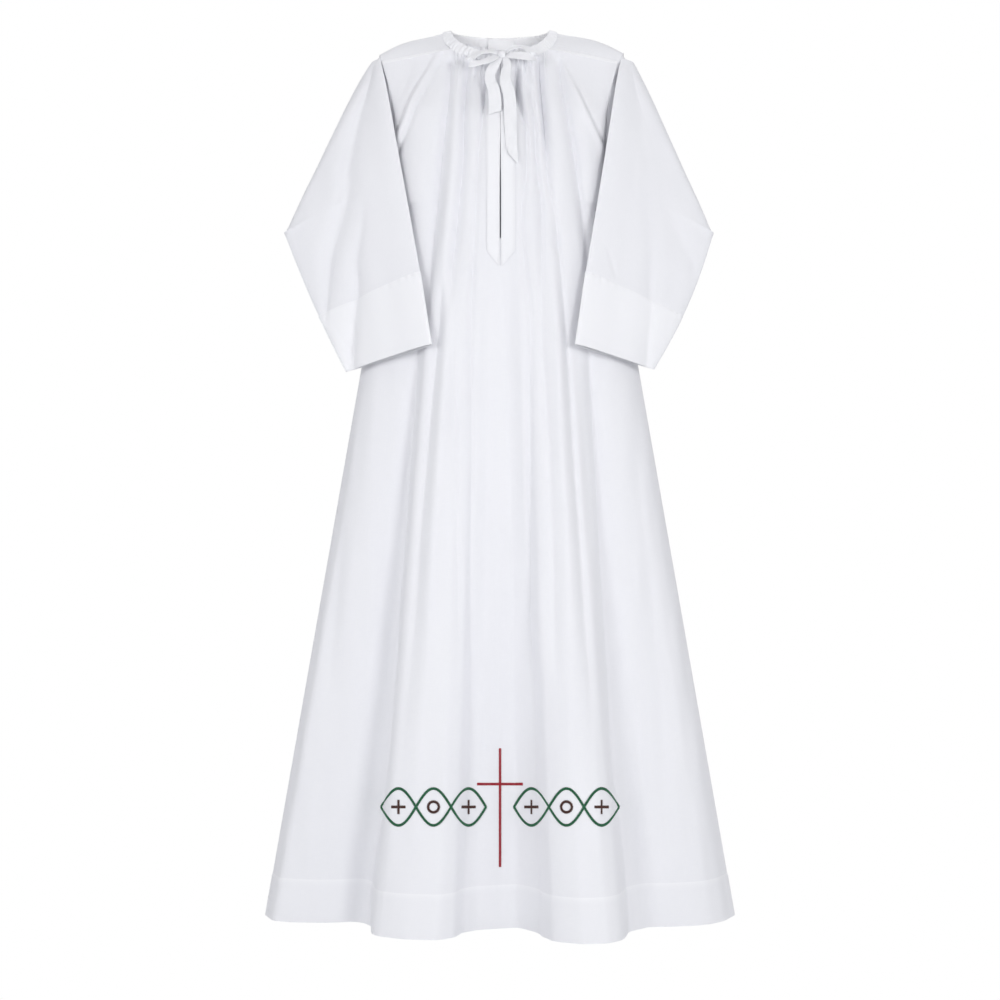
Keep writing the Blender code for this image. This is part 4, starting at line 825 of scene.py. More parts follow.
turn = np.linspace(math.asin(SLIT_X[1] / CASING_LOW_X), 2 * math.pi - math.asin(-SLIT_X[0] / CASING_LOW_X),
                   CASING_STATIONS)
angle = np.minimum(turn, 2 * math.pi - turn)
sign = np.where(turn <= math.pi, 1.0, -1.0)[:, None] * (1, 0, 0) + (0, 1, 1)
low = casing_low(angle) * sign
up = casing_up(angle) * sign
low_out = neck_out(angle) * sign
away = np.stack([np.sin(angle), -np.cos(angle), 0 * angle], axis=-1) * sign
up_out = unit(0.4 * low_out + 0.6 * away + np.array((0, 0, 0.35)))
casing_run = np.concatenate([[0], np.cumsum(np.linalg.norm(np.diff(low, axis=0), axis=1))])
uneven = 1.1 * np.sin(casing_run / 0.0137 + 0.6) ** 2 * (0.6 + 0.4 * np.sin(casing_run / 0.041 + 2.0))
ruffle = np.interp(np.degrees(angle), RUFFLES["angle"], RUFFLES["height"]) * (0.35 + uneven)
phase = casing_run / CASING_PITCH + 0.5 * np.sin(casing_run / 0.021 + 0.5)
phase = phase + 0.35 * np.sin(casing_run / 0.0093 + 1.9)
pleat = 2.0 * np.abs(np.sin(np.pi * phase)) ** 0.75 - 1.2
ring = []
ring_uv = []
for k, v in enumerate(np.linspace(-0.08, 1.0, CASING_FRONT_POINTS)):
    direction = unit(low_out + (up_out - low_out) * v)
    slant = 0.0016 * np.sin(casing_run / 0.0061 + 3.0 * v + 0.9)
    bulge = 0.0014 * (1 - (2 * v - 1) ** 2)
    lift = ruffle * (pleat * (0.75 + 0.5 * abs(2 * v - 1)) + 0.25 * np.sin(2 * np.pi * phase * 0.5 + 5.0 * v))
    point = low + (up - low) * v + direction * (bulge + 0.0007 + lift)[:, None]
    ring.append(point + low_out * slant[:, None] * 0.15)
    ring_uv.append(np.stack([casing_run, np.full_like(casing_run, CASING_WIDTH * v)], axis=-1))
for v in np.linspace(0.97, 0.0, CASING_FRONT_POINTS - 3):
    direction = unit(low_out + (up_out - low_out) * v)
    sink = 0.0012 + 0.0012 * (1 - (2 * v - 1) ** 2) + 0.3 * ruffle * pleat
    ring.append(low + (up - low) * v - direction * sink[:, None])
    ring_uv.append(np.stack([casing_run, np.full_like(casing_run, 0.030 - CASING_WIDTH * v)], axis=-1))
casing_points = np.array(ring).transpose(1, 0, 2)
casing_uv = np.array(ring_uv).transpose(1, 0, 2)
casing_points[..., 2] += 0.0006 * (pleat * np.sin(casing_run / 0.017))[:, None]


def tube(name, points, uv, look, sharp_degrees=55, double_and_highlight=0.0):
    """A closed tube through rings of points, rows along it, with both ends capped."""
    rows, columns = points.shape[:2]
    faces = quads(rows, columns, True).reshape(-1, 4)
    flat = points.reshape(-1, 3)
    middle = points.mean(axis=1)
    a, b, c = (flat[faces[:, k]] for k in (0, 1, 3))
    outward = a - middle[faces[:, 0] // columns]
    turned = np.sum(np.cross(b - a, c - a) * outward) < 0
    faces = faces[:, ::-1] if turned else faces
    ends = [list(range(columns))[::-1], [(rows - 1) * columns + k for k in range(columns)]]
    ends = [end[::-1] for end in ends] if turned else ends
    return piece_from(name, flat, faces.tolist() + ends, uv.reshape(-1, 2), double_and_highlight, look, sharp_degrees)


casing = tube("neck_casing", casing_points, casing_uv, WHITE_CLOTH, 80, double_and_highlight=0.7)
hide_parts("neck_casing")

# ---- Plackets
# A narrow double strip along each edge of the slit, edge-stitched to the front. Each ends below the slit in
# half of a blunt point, which is sewn across to stop the slit from tearing.

STRIP_SHOULDER_Z = -0.379
STRIP_POINT_Z = -0.4035
STRIP_WALL = 0.0008
STRIP_RISE = 0.0014
STRIP_ROWS = 90

# The first of each strip's columns in the front, and the heights that its foot slants between
STRIPS = {
    "right": {"first": SLIT_COLUMN - STRIP_COLUMNS, "foot": (STRIP_SHOULDER_Z, STRIP_POINT_Z)},
    "left": {"first": SLIT_COLUMN + 1, "foot": (STRIP_POINT_Z, STRIP_SHOULDER_Z)},
}

placket_grids = {}
for label, placket in STRIPS.items():
    strip_lines = []
    for column, foot in enumerate(np.linspace(*placket["foot"], STRIP_COLUMNS + 1), placket["first"]):
        z_line = front_grid[:, column, 2]
        z = np.linspace(z_line[0], foot, STRIP_ROWS)
        both = np.concatenate([front_grid[:, column], front_out[:, column]], axis=1)
        strip_lines.append(np.stack([np.interp(-z, -z_line, part) for part in both.T], axis=-1))
    grid, out = np.split(np.array(strip_lines).transpose(1, 0, 2), 2, axis=2)
    out = unit(out)
    along = lengths_along(grid)
    down = -grid[..., 2]
    near = np.minimum(along, along[:, -1:] - along)
    rise = STRIP_RISE + 0.0004 * smooth(near / 0.0025)
    rise = rise + 0.0002 * np.sin(down / 0.0075 + 2 * np.sin(down / 0.03))
    placket_grids[label] = (grid + out * rise[..., None], out)
    strip = shell("placket_" + label, *placket_grids[label], STRIP_WALL, np.stack([along, down], axis=-1),
                  WHITE_CLOTH, double_and_highlight=0.5)
    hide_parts("placket_" + label)

# ---- Sleeves and cuffs
# Wide sleeves, each a flat tube of one piece of the cloth, set into the armhole and folded forward over the
# front along a line from the shoulder to the elbow corner. The deep cuff is turned up double inside and sewn
# round, and its mouth is open.

UNDERARM = np.array((0.1840, 0.0, UNDERARM_Z))
FOLD_SHARE = 0.404
CUFF_SHARE = 0.757
SLEEVE_SIDES = {
    "right": {"name": "right", "side": -1, "fold_start": (0.2130, 0.0, -0.0395),
              "elbow": (0.3555, -0.008, -0.3358), "cuff_low": (0.2505, -0.045, -0.5665),
              "bulge": 0.0040, "round": 0.0115},
    "left": {"name": "left", "side": 1, "fold_start": (0.2185, 0.0, -0.0395),
             "elbow": (0.3520, -0.008, -0.3366), "cuff_low": (0.2508, -0.045, -0.5628),
             "bulge": 0.0090, "round": 0.0045},
}
# The over-arm edge, in front, over shares of the way from the shoulder to the sleeve's mouth
OVER_ARM = {
    "share": (0.0, 0.05, 0.10, 0.20, 0.35, 0.55, CUFF_SHARE, 1.0),
    "right_x": (0.1985, 0.1930, 0.1860, 0.1767, 0.1640, 0.1460, 0.1277, 0.1085),
    "left_x": (0.2020, 0.1950, 0.1890, 0.1812, 0.1700, 0.1543, 0.1370, 0.1192),
    "y": (-0.004, -0.030, -0.046, -0.060, -0.072, -0.087, -0.105, -0.128),
    "z": (-0.0405, -0.0670, -0.0950, -0.1440, -0.2150, -0.3100, -0.4100, -0.5290),
}
# How far the flap stands in front of the sleeve's middle, and the half gap and the inset at the fold
FOLD_DEPTH = {"share": (0.0, 0.06, 0.16, 0.30, FOLD_SHARE, 0.60, 1.0),
              "y": (0.006, 0.016, 0.018, 0.011, 0.0065, 0.020, 0.045)}
FOLD_GAP = {"share": (0.0, 0.05, 0.10, 0.25, 0.33, 0.38, 0.395, FOLD_SHARE),
            "half": (0.003, 0.012, 0.014, 0.007, 0.0062, 0.0064, 0.0065, 0.0065),
            "inset": (0.003, 0.012, 0.014, 0.007, 0.0060, 0.0045, 0.0028, 0.0)}
# Roundness of the fold, half the gap between the sleeve's two layers, and how much wider it is at the armhole
ROLL = 0.008
SLEEVE_HALF_GAP = 0.0065
ARMHOLE_GAP = 0.030
# Steps of a ring beside its two edges and beside the fold
SLEEVE_EDGE = 0.0025
FOLD_STEP = 0.012
ARMHOLE_ROWS = (ARMHOLE_TOP_Z, -0.085, -0.118, -0.155, -0.195, -0.235, -0.272, UNDERARM_Z)
SLEEVE_CLEAR = (0.0006, 0, 0.0004)
SLEEVE_SHARES = np.concatenate([np.linspace(0.016, 0.11, 22), np.linspace(0.11, CUFF_SHARE, 96)[1:]])
CUFF_SHARES = np.linspace(CUFF_SHARE, 1.0, 34)
# Metres of cloth from share 0 to share 1, along the middle of the sleeve and over the cuff
SLEEVE_LENGTH = 0.75
CUFF_LENGTH = 0.62
# Points between one named place of a ring and the next, from the over-arm edge round to the underarm
RING_STEPS = (3, 11, 11, 9, 6, 5, 7, 7, 7, 5, 3)
CUFF_CLOTH = 0.0012
CUFF_PUCKERS = {"height": 0.0011, "pitch": 0.013}

# Folds of each sleeve's front, in the folded sleeve's plane, as for the body; x is measured outwards
SLEEVE_FOLDS = {
    "right": {
        "trough": ((0.2020, -0.048, 0.0050, -0.0030), (0.2160, -0.096, 0.0080, -0.0060),
                   (0.2390, -0.189, 0.0120, -0.0095), (0.2540, -0.262, 0.0135, -0.0110),
                   (0.2700, -0.345, 0.0130, -0.0110), (0.2800, -0.420, 0.0095, -0.0090),
                   (0.2850, -0.476, 0.0050, -0.0050)),
        "trough_side": ((0.2240, -0.090, 0.0080, 0.0), (0.2560, -0.200, 0.0120, 0.0030),
                        (0.2800, -0.300, 0.0120, 0.0026), (0.3000, -0.390, 0.0100, 0.0)),
        "soft": ((0.2230, -0.270, 0.0070, 0.0), (0.2240, -0.340, 0.0085, -0.0050),
                 (0.2290, -0.411, 0.0100, -0.0090), (0.2400, -0.500, 0.0115, -0.0145),
                 (0.2460, -0.570, 0.0110, -0.0145)),
    },
    "left": {
        "soft": ((0.2060, -0.050, 0.0080, 0.0), (0.2230, -0.126, 0.0140, -0.0014),
                 (0.2370, -0.226, 0.0160, -0.0020), (0.2400, -0.320, 0.0160, -0.0020),
                 (0.2440, -0.400, 0.0140, -0.0012), (0.2460, -0.470, 0.0120, 0.0)),
        "elbow": ((0.2700, -0.260, 0.0120, 0.0), (0.2900, -0.334, 0.0180, -0.0030),
                  (0.3200, -0.400, 0.0180, -0.0030), (0.3350, -0.440, 0.0140, 0.0)),
        "cuff": ((0.2380, -0.330, 0.0070, 0.0), (0.2370, -0.400, 0.0075, -0.0026),
                 (0.2430, -0.450, 0.0080, -0.0034), (0.2380, -0.530, 0.0100, -0.0050),
                 (0.2380, -0.570, 0.0100, -0.0050)),
        "seam_pucker": ((0.1640, -0.360, 0.0030, 0.0), (0.1780, -0.400, 0.0030, -0.0022),
                        (0.1830, -0.420, 0.0030, 0.0)),
    },
}
# Folds of the layer behind, which follow the front's more softly
SLEEVE_BACK_SHARE = 0.6


def lerp(a, b, share):
    return np.asarray(a) + (np.asarray(b) - np.asarray(a)) * share


def sleeve_lines(side, share):
    """Over-arm point, fold point (on the mid surface) and underarm point of the ring at this share."""
    keys = (side["name"] + "_x", "y", "z")
    over = np.array([np.interp(share, OVER_ARM["share"], OVER_ARM[key]) for key in keys])
    elbow = np.array(side["elbow"])
    if share < FOLD_SHARE:
        along = 1.0 - (1.0 - share / FOLD_SHARE) ** 1.12
        start = np.array(side["fold_start"])
        fold = lerp(start, elbow, along)
        fold[0] -= side["round"] * math.exp(-along / 0.05)
        direction = unit((elbow - start) * (1, 0, 1))
        inward = np.array((direction[2], 0.0, -direction[0]))
        fold = fold + inward * np.interp(share, FOLD_GAP["share"], FOLD_GAP["inset"])
        return over, fold, lerp(UNDERARM, elbow, share / FOLD_SHARE)
    past = (share - FOLD_SHARE) / (1 - FOLD_SHARE)
    under = lerp(elbow, side["cuff_low"], past)
    direction = unit((np.array(side["cuff_low"]) - elbow) * (1, 0, 1))
    under = under + np.array((-direction[2], 0.0, direction[0])) * side["bulge"] * math.sin(math.pi * past)
    return over, under, under


def middle_points(side, share, u):
    """Mid surface of the flattened sleeve: u from -1 (over-arm) through 0 (fold) to 1 (underarm)."""
    over, fold, under = sleeve_lines(side, share)
    reach = 0.11 * float(smooth((share - 0.05) / 0.25))
    near_shares = share + np.linspace(-reach, reach, 15)
    depth = float(np.mean(np.interp(near_shares, FOLD_DEPTH["share"], FOLD_DEPTH["y"])))
    roll = 1.4 * ROLL
    flap = (over - fold) * (1, 0, 1)
    length = np.linalg.norm(flap)
    past = 0.0 if share <= FOLD_SHARE else 0.8 * np.linalg.norm((under - np.array(side["elbow"])) * (1, 0, 1))
    d = np.maximum(-u, 0.0) * length
    bend = (d + past) * np.tanh((d + past) / roll) - past * math.tanh(past / roll)
    full = (length + past) * math.tanh((length + past) / roll) - past * math.tanh(past / roll)
    near = fold + flap * (bend / full)[:, None]
    turned = np.tanh((d + past) / ROLL) / math.tanh((length + past) / ROLL)
    near[:, 1] = -(depth * turned + (-over[1] - depth) * (d / length))
    rest = (under - fold) * (1, 0, 1)
    reach = max(np.linalg.norm(rest), 1e-6)
    d = np.maximum(u, 0.0) * reach
    far = fold + rest * (d * np.tanh(d / roll) / (reach * math.tanh(reach / roll)))[:, None]
    far[:, 1] = 0.008 * np.tanh(d / ROLL) * (1 - u) + under[1] * u
    return np.where((u <= 0)[:, None], near, far)


def ring_places(side, share):
    """Distances round half a ring from the over-arm edge to the underarm, and the widths of flap and rest."""
    over, fold, under = sleeve_lines(side, share)
    flap = np.linalg.norm((over - fold) * (1, 0, 1))
    rest = np.linalg.norm((under - fold) * (1, 0, 1)) if share < FOLD_SHARE else 0.0
    total = flap + rest
    even = np.array((0.33, 0.64, 0.88, 0.91, 0.93, 0.95, 0.965, 0.98))
    if share < FOLD_SHARE:
        step = min(FOLD_STEP, 0.3 * flap)
        past = flap + min(FOLD_STEP, 0.3 * rest)
        last = total - min(SLEEVE_EDGE, 0.2 * rest)
        wide = float(smooth((flap - 0.035) / 0.035))
        first = lerp((0.25 * (flap - step), 0.5 * (flap - step), 0.75 * (flap - step)),
                     (SLEEVE_EDGE, 0.35 * (flap - step), 0.70 * (flap - step)), wide)
        beyond = [past + (last - past) * q for q in (0.28, 0.55, 0.80)]
        places = np.array([0, *first, flap - step, flap, past, *beyond, last, total])
        near_elbow = float(smooth((share - FOLD_SHARE + 0.09) / 0.085))
        spread = np.array([0, SLEEVE_EDGE, *(total * even), total - SLEEVE_EDGE, total])
        places = lerp(places, spread, near_elbow)
    else:
        q = min(1, 2.2 * (share - FOLD_SHARE) / (1 - FOLD_SHARE))
        far = np.array((0.14, 0.28, 0.42, 0.55, 0.67, 0.78, 0.87, 0.94))
        inside = total * lerp(even, far, float(smooth(q)))
        places = np.array([0, SLEEVE_EDGE, *inside, total - SLEEVE_EDGE, total])
    keys = np.concatenate([[0], np.cumsum(RING_STEPS)])
    return np.interp(np.arange(keys[-1] + 1), keys, places), flap, rest


def sleeve_ring(side, share):
    """One ring of the sleeve: outer points, the folds' heights, directions out, and distances round it."""
    places, flap, rest = ring_places(side, share)
    total = flap + rest
    u = np.where(places <= flap, np.minimum(0.0, (places - flap) / flap), (places - flap) / max(rest, 1e-9))
    if not rest:
        u = np.minimum(u, 0.0)
    e = 1e-3
    point = middle_points(side, share, u)
    du = middle_points(side, share, np.minimum(u + e, 1.0 if rest else 0.0))
    du = du - middle_points(side, share, np.maximum(u - e, -1.0))
    reach = min(0.03, 0.5 * share)
    ds = middle_points(side, min(share + reach, 1.0), u) - middle_points(side, share - reach, u)
    out = np.cross(ds, du)
    out = out / np.maximum(np.linalg.norm(out, axis=1, keepdims=True), 1e-12)
    apart = np.abs(places - flap)
    near_end = np.minimum(places, total - places)
    cap = np.sqrt(np.clip(1 - (1 - np.minimum(near_end, 0.05) / 0.05) ** 2, 0.0, 1.0))
    if share < FOLD_SHARE:
        wide = SLEEVE_HALF_GAP + ARMHOLE_GAP * max(0.0, 1 - share / 0.30) ** 2
        fold_gap = float(np.interp(share, FOLD_GAP["share"], FOLD_GAP["half"]))
        gap = np.interp(places, (0, 0.6 * flap, flap, flap + 0.5 * rest + 1e-6, total + 2e-6),
                        (SLEEVE_HALF_GAP, SLEEVE_HALF_GAP, fold_gap, wide, wide))
    else:
        gap = SLEEVE_HALF_GAP + 0.0015 * (share - FOLD_SHARE)
    half = gap * cap
    height = fold_heights(point[:, 0], point[:, 2], SLEEVE_FOLDS[side["name"]])
    height = height + drift(places + 0.4 * side["side"], point[:, 2]) * 0.8
    height = height * smooth(near_end / 0.02) * smooth(share / 0.04)
    if rest:
        height = height * (1.0 - (1.0 + SLEEVE_BACK_SHARE) * smooth((places - flap) / 0.02 + 0.5))
    back = point + out * half[:, None]
    front_layer = point - out * half[:, None]
    ring = np.concatenate([back, front_layer[-2:0:-1]])
    outs = np.concatenate([out, -out[-2:0:-1]])
    heights = np.concatenate([height, -SLEEVE_BACK_SHARE * height[-2:0:-1]])
    around = np.concatenate([-places, places[-2:0:-1]])
    return ring, heights, outs, around, np.concatenate([apart, apart[-2:0:-1]])


def evened(points, rows, width, weight):
    """The rings evened along the sleeve by a weight; the first and the last rows keep their place."""
    steps = np.arange(-3 * width, 3 * width + 1)
    kernel = np.exp(-0.5 * (steps / width) ** 2)
    wide = np.pad(points, ((3 * width, 3 * width), (0, 0), (0, 0)), mode="edge")
    soft = sum(wide[k:k + len(points)] * part for k, part in enumerate(kernel / kernel.sum()))
    row = np.arange(len(points))[:, None]
    inside = smooth((row - rows) / rows) * smooth((len(points) - 3 * width - row) / 20)
    return points + (soft - points) * (weight * inside)[..., None]


def armhole_ring(yoke):
    """The armhole's edge in the ring's order: shoulder, down the back, underarm, and up the front."""
    keys = np.concatenate([[0], np.cumsum(RING_STEPS)])
    step = np.interp(np.arange(keys[-1] + 1), keys, np.arange(len(keys)))
    over = shoulder_line(yoke, -np.clip(step / 4, 0, 1))
    z = np.interp(step, np.arange(4, 12), ARMHOLE_ROWS)
    down = np.stack([half_width(z), -armhole_depth(z), z], axis=-1)
    line = np.where((step <= 4)[:, None], over, down)
    line[-1] = UNDERARM
    line = line + SLEEVE_CLEAR
    return np.concatenate([line * (1, -1, 1), line[-2:0:-1]])


def ring_normals(grid):
    """Directions out of rings of points that close on themselves."""
    around = np.roll(grid, -1, axis=1) - np.roll(grid, 1, axis=1)
    found = np.cross(around, np.gradient(grid, axis=0))
    found = found / np.maximum(np.linalg.norm(found, axis=2, keepdims=True), 1e-12)
    away = grid - grid.mean(axis=1, keepdims=True)
    return found if np.sum(found * away) > 0 else -found


cuff_grids = {}
for label, side in SLEEVE_SIDES.items():
    rings = [sleeve_ring(side, share) for share in np.concatenate([SLEEVE_SHARES, CUFF_SHARES[1:]])]
    points, heights, outs, around, apart = (np.array([ring[k] for ring in rings]) for k in range(5))
    points = evened(points, 10, 9, smooth((apart - 0.015) / 0.05)) + outs * heights[..., None]
    points = np.concatenate([armhole_ring(YOKE_SIDES[label])[None], points]) * (side["side"], 1, 1)
    around = np.concatenate([around[:1], around])
    shares = np.concatenate([[0.0], SLEEVE_SHARES, CUFF_SHARES[1:]])
    uv = np.stack([around, np.broadcast_to(SLEEVE_LENGTH * shares[:, None], around.shape)], axis=-1)
    out = ring_normals(points)
    seam = len(SLEEVE_SHARES)
    past = (shares[seam:] - CUFF_SHARE)[:, None] * CUFF_LENGTH
    rise = turn_up_rise(past) + pucker_heights(around[seam:], past, **CUFF_PUCKERS)
    cuff_grids[label] = (points[seam:] + out[seam:] * rise[..., None], out[seam:])
    arm = slice(0, seam + 1)
    sleeve = shell("sleeve_" + label, points[arm], out[arm], CLOTH, uv[arm], WHITE_CLOTH, closed=True)
    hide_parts("sleeve_" + label)
    cuff = shell("cuff_" + label, *cuff_grids[label], CUFF_CLOTH, uv[seam:], WHITE_CLOTH, closed=True,
                 double_and_highlight=0.55)
    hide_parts("cuff_" + label)

# ---- Drawstring
# A flat woven cotton tape, 15 to 20 mm wide, that runs in the casing, comes out at the slit and is tied in a
# bow: two loops, two free ends and a small knot, with a short stretch on each side back into the casing.

TAPE_WALL = 0.0009
TAPE_ACROSS = 9
# The tape's two edges are bound, so they are thicker by a share of the wall
TAPE_BINDING = 0.35
# Rows of each stretch: middle x, y, z; direction across; width
BOW_STRETCHES = {
    "bow_loop_right": (
        (-0.0030, -0.0715, -0.0535, 0.0, -0.60, -0.80, 0.009),
        (-0.0130, -0.0740, -0.0515, 0.0, -0.80, -0.60, 0.0125),
        (-0.0270, -0.0750, -0.0520, 0.1, -0.85, -0.53, 0.0145),
        (-0.0400, -0.0765, -0.0580, 0.3, -0.75, -0.60, 0.0145),
        (-0.0485, -0.0800, -0.0680, 0.4, -0.50, -0.75, 0.0145),
        (-0.0460, -0.0850, -0.0735, 0.3, -0.55, -0.78, 0.0145),
        (-0.0330, -0.0860, -0.0720, 0.1, -0.70, -0.70, 0.0145),
        (-0.0160, -0.0800, -0.0660, 0.0, -0.62, -0.78, 0.0120),
        (-0.0038, -0.0725, -0.0595, 0.0, -0.60, -0.80, 0.009),
    ),
    "bow_loop_left": (
        (0.0090, -0.0715, -0.0525, 0.0, -0.60, -0.80, 0.009),
        (0.0200, -0.0735, -0.0470, 0.0, -0.80, -0.60, 0.0125),
        (0.0350, -0.0750, -0.0455, -0.1, -0.85, -0.52, 0.0145),
        (0.0480, -0.0765, -0.0500, -0.3, -0.70, -0.64, 0.0145),
        (0.0545, -0.0800, -0.0590, -0.3, -0.50, -0.80, 0.0145),
        (0.0500, -0.0845, -0.0640, -0.2, -0.45, -0.87, 0.0150),
        (0.0350, -0.0855, -0.0625, 0.0, -0.50, -0.86, 0.0150),
        (0.0200, -0.0800, -0.0600, 0.0, -0.50, -0.86, 0.0125),
        (0.0096, -0.0725, -0.0575, 0.0, -0.60, -0.80, 0.009),
    ),
    "bow_tail_right": (
        (0.0000, -0.0725, -0.0615, 0.75, -0.30, -0.58, 0.009),
        (-0.0070, -0.0795, -0.0730, 0.80, -0.20, -0.56, 0.0135),
        (-0.0150, -0.0850, -0.0880, 0.88, 0.30, -0.38, 0.0165),
        (-0.0155, -0.0885, -0.1030, 0.93, 0.35, 0.10, 0.0180),
        (-0.0105, -0.0920, -0.1180, 0.96, 0.10, 0.25, 0.0190),
        (-0.0080, -0.0960, -0.1360, 1.00, 0.00, 0.06, 0.0200),
        (-0.0080, -0.0990, -0.1560, 1.00, 0.00, 0.00, 0.0200),
    ),
    "bow_tail_left": (
        (0.0065, -0.0725, -0.0615, 0.80, -0.40, 0.45, 0.009),
        (0.0105, -0.0800, -0.0740, 0.88, -0.45, 0.10, 0.0150),
        (0.0090, -0.0845, -0.0890, 0.86, -0.48, -0.15, 0.0180),
        (0.0090, -0.0885, -0.1050, 0.92, -0.25, 0.22, 0.0185),
        (0.0140, -0.0925, -0.1230, 0.96, 0.00, 0.24, 0.0190),
        (0.0160, -0.0970, -0.1420, 1.00, 0.00, 0.10, 0.0200),
        (0.0170, -0.1040, -0.1750, 1.00, 0.00, 0.00, 0.0195),
        (0.0185, -0.1090, -0.2080, 1.00, 0.00, 0.00, 0.0175),
        (0.0210, -0.1120, -0.2320, 1.00, 0.00, 0.00, 0.0140),
    ),
}
# How far each free end is cut on the slant, from its middle to its edge, over the last of its length
SLANTS = {"bow_tail_right": -0.0035, "bow_tail_left": 0.0095}
SLANT_LENGTH = 0.03

TAPE_LOOK = cloth_look("woven tape", (0.930, 0.932, 0.952), (0.880, 0.883, 0.912), (0.930, 0.932, 0.952),
                       pitch=0.00055, weave_depth=0.00022, crumple_depth=0.0008, stretch=(1.0, 1.0, 1.0))


def ribbon(name, rows, look, steps=12, slant=0.0):
    """A flat tape along a curve, a little cupped and creased; its edges are bound and its end may slant."""
    path = smooth_path(rows, steps)
    middle = path[:, :3]
    tangent = unit(np.gradient(middle, axis=0))
    across = path[:, 3:6] - tangent * np.sum(path[:, 3:6] * tangent, axis=1)[:, None]
    across = unit(across)
    out = np.cross(across, tangent)
    share = np.linspace(-1.0, 1.0, TAPE_ACROSS)
    run = np.concatenate([[0], np.cumsum(np.linalg.norm(np.diff(middle, axis=0), axis=1))])
    cup = 0.0011 * (share ** 2)[None, :] * np.sin(run / 0.017 + 0.5)[:, None]
    cup = cup + 0.00035 * np.sin(run[:, None] / 0.0042 + 1.9 * share[None, :]) * smooth(run / 0.02)[:, None]
    half = 0.5 * path[:, 6]
    flat = half[:, None] * share
    grid = middle[:, None] + across[:, None] * flat[..., None] + out[:, None] * cup[..., None]
    lean = slant * smooth((run - run[-1] + SLANT_LENGTH) / SLANT_LENGTH) ** 2
    grid = grid + (tangent * lean[:, None])[:, None] * share[None, :, None]
    thick = TAPE_WALL * (1.0 + TAPE_BINDING * (np.abs(share) > 0.8))
    outer = grid + out[:, None] * (0.5 * thick)[None, :, None]
    inner = grid - out[:, None] * (0.5 * thick)[None, :, None]
    ring = np.concatenate([outer, inner[:, ::-1]], axis=1)
    round_it = np.concatenate([flat, flat[:, ::-1]], axis=1)
    uv = np.stack([round_it, np.broadcast_to(run[:, None], round_it.shape)], axis=-1)
    made = tube(name, ring, uv, look, 50)
    return made, middle, float(run[-1])


for name, rows in BOW_STRETCHES.items():
    stretch, middle, length = ribbon(name, rows, TAPE_LOOK, slant=SLANTS.get(name, 0.0))
    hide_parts(name)

# The knot: the tape wound once and a half over the strands, a little larger and further along with each turn
KNOT_CENTRE = np.array((0.0030, -0.0705, -0.0560))
KNOT_HALF_DEPTH = 0.0052
KNOT_HALF_HEIGHT = 0.0060
KNOT_TURNS = (-0.2, 1.3)
knot_rows = []
for t in np.linspace(*KNOT_TURNS, 44) * 2 * math.pi:
    grow = 0.80 + 0.030 * t
    place = KNOT_CENTRE + np.array((0.0006 * (t - 3.0), -math.cos(t) * KNOT_HALF_DEPTH * grow,
                                    math.sin(t) * KNOT_HALF_HEIGHT * grow))
    knot_rows.append((*place, 1.0, 0.0, 0.12, 0.0075))
knot, _, _ = ribbon("bow_knot", knot_rows, TAPE_LOOK, steps=1)
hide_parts("bow_knot")

# The stretches from the knot back into the casing, which belong to no other piece
LEADS = {
    "bow_lead_right": ((-0.0020, -0.0695, -0.0545, 0.0, -0.55, -0.83, 0.006),
                       (-0.0120, -0.0700, -0.0520, 0.0, -0.55, -0.83, 0.007),
                       (-0.0230, -0.0690, -0.0510, 0.05, -0.50, -0.86, 0.008),
                       (-0.0330, -0.0640, -0.0520, 0.10, -0.45, -0.88, 0.008)),
    "bow_lead_left": ((0.0080, -0.0695, -0.0550, 0.0, -0.55, -0.83, 0.006),
                      (0.0160, -0.0690, -0.0570, 0.0, -0.50, -0.86, 0.007),
                      (0.0250, -0.0660, -0.0570, 0.0, -0.45, -0.88, 0.008)),
}
for name, rows in LEADS.items():
    ribbon(name, rows, TAPE_LOOK, steps=8)

# ---- Label
# A small woven label of white ribbon, sewn inside the back of the neck. It is bare.

LABEL_X = (-0.020, 0.024)
LABEL_HEIGHT = 0.017
LABEL_TOP_Z = 0.0012
LABEL_WALL = 0.0005
LABEL_ROWS = 20
LABEL_LOOK = cloth_look("label ribbon", (0.880, 0.882, 0.905), (0.850, 0.852, 0.880), (0.880, 0.882, 0.905),
                        pitch=0.0003, weave_depth=0.00006, crumple_depth=0.0006, roughness=0.6)

label_x = np.linspace(*LABEL_X, 34)
label_angle = math.pi - np.arcsin(np.abs(label_x) / CASING_LOW_X)
label_low = casing_low(label_angle)
label_up = casing_up(label_angle)
label_lines = []
for v in np.linspace(0.82, 0.1, LABEL_ROWS):
    line = label_low + (label_up - label_low) * v
    line[:, 1] -= 0.0058 + 0.0006 * np.sin(label_x / 0.009 + 3.0 * v)
    line[:, 0] = label_x
    label_lines.append(line)
label_grid = np.array(label_lines)
label_z = np.linspace(LABEL_TOP_Z, LABEL_TOP_Z - LABEL_HEIGHT, LABEL_ROWS)
label_grid[..., 2] = label_z[:, None] - 0.0004 * np.cos(label_x / 0.012)
label_out = grid_normals(label_grid, (0, -1, 0))
label_uv = np.stack([np.broadcast_to(label_x, label_grid.shape[:2]), label_grid[..., 2]], axis=-1)
label_piece = shell("label", label_grid, label_out, LABEL_WALL, label_uv, LABEL_LOOK)
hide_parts("label")

# ---- Stitches
# Rows of white polyester thread, sewn by machine with about three millimetres to the stitch, that hold the
# hem, the cuffs and the plackets.

THREAD = {"pitch": 0.0030, "length": 0.0024, "width": 0.00055, "height": 0.00050}
# The thread's middle stands this far off the cloth, and further off on the hem, which is itself proud
STITCH_RISE = 0.0003
HEM_STITCH_RISE = 0.0011


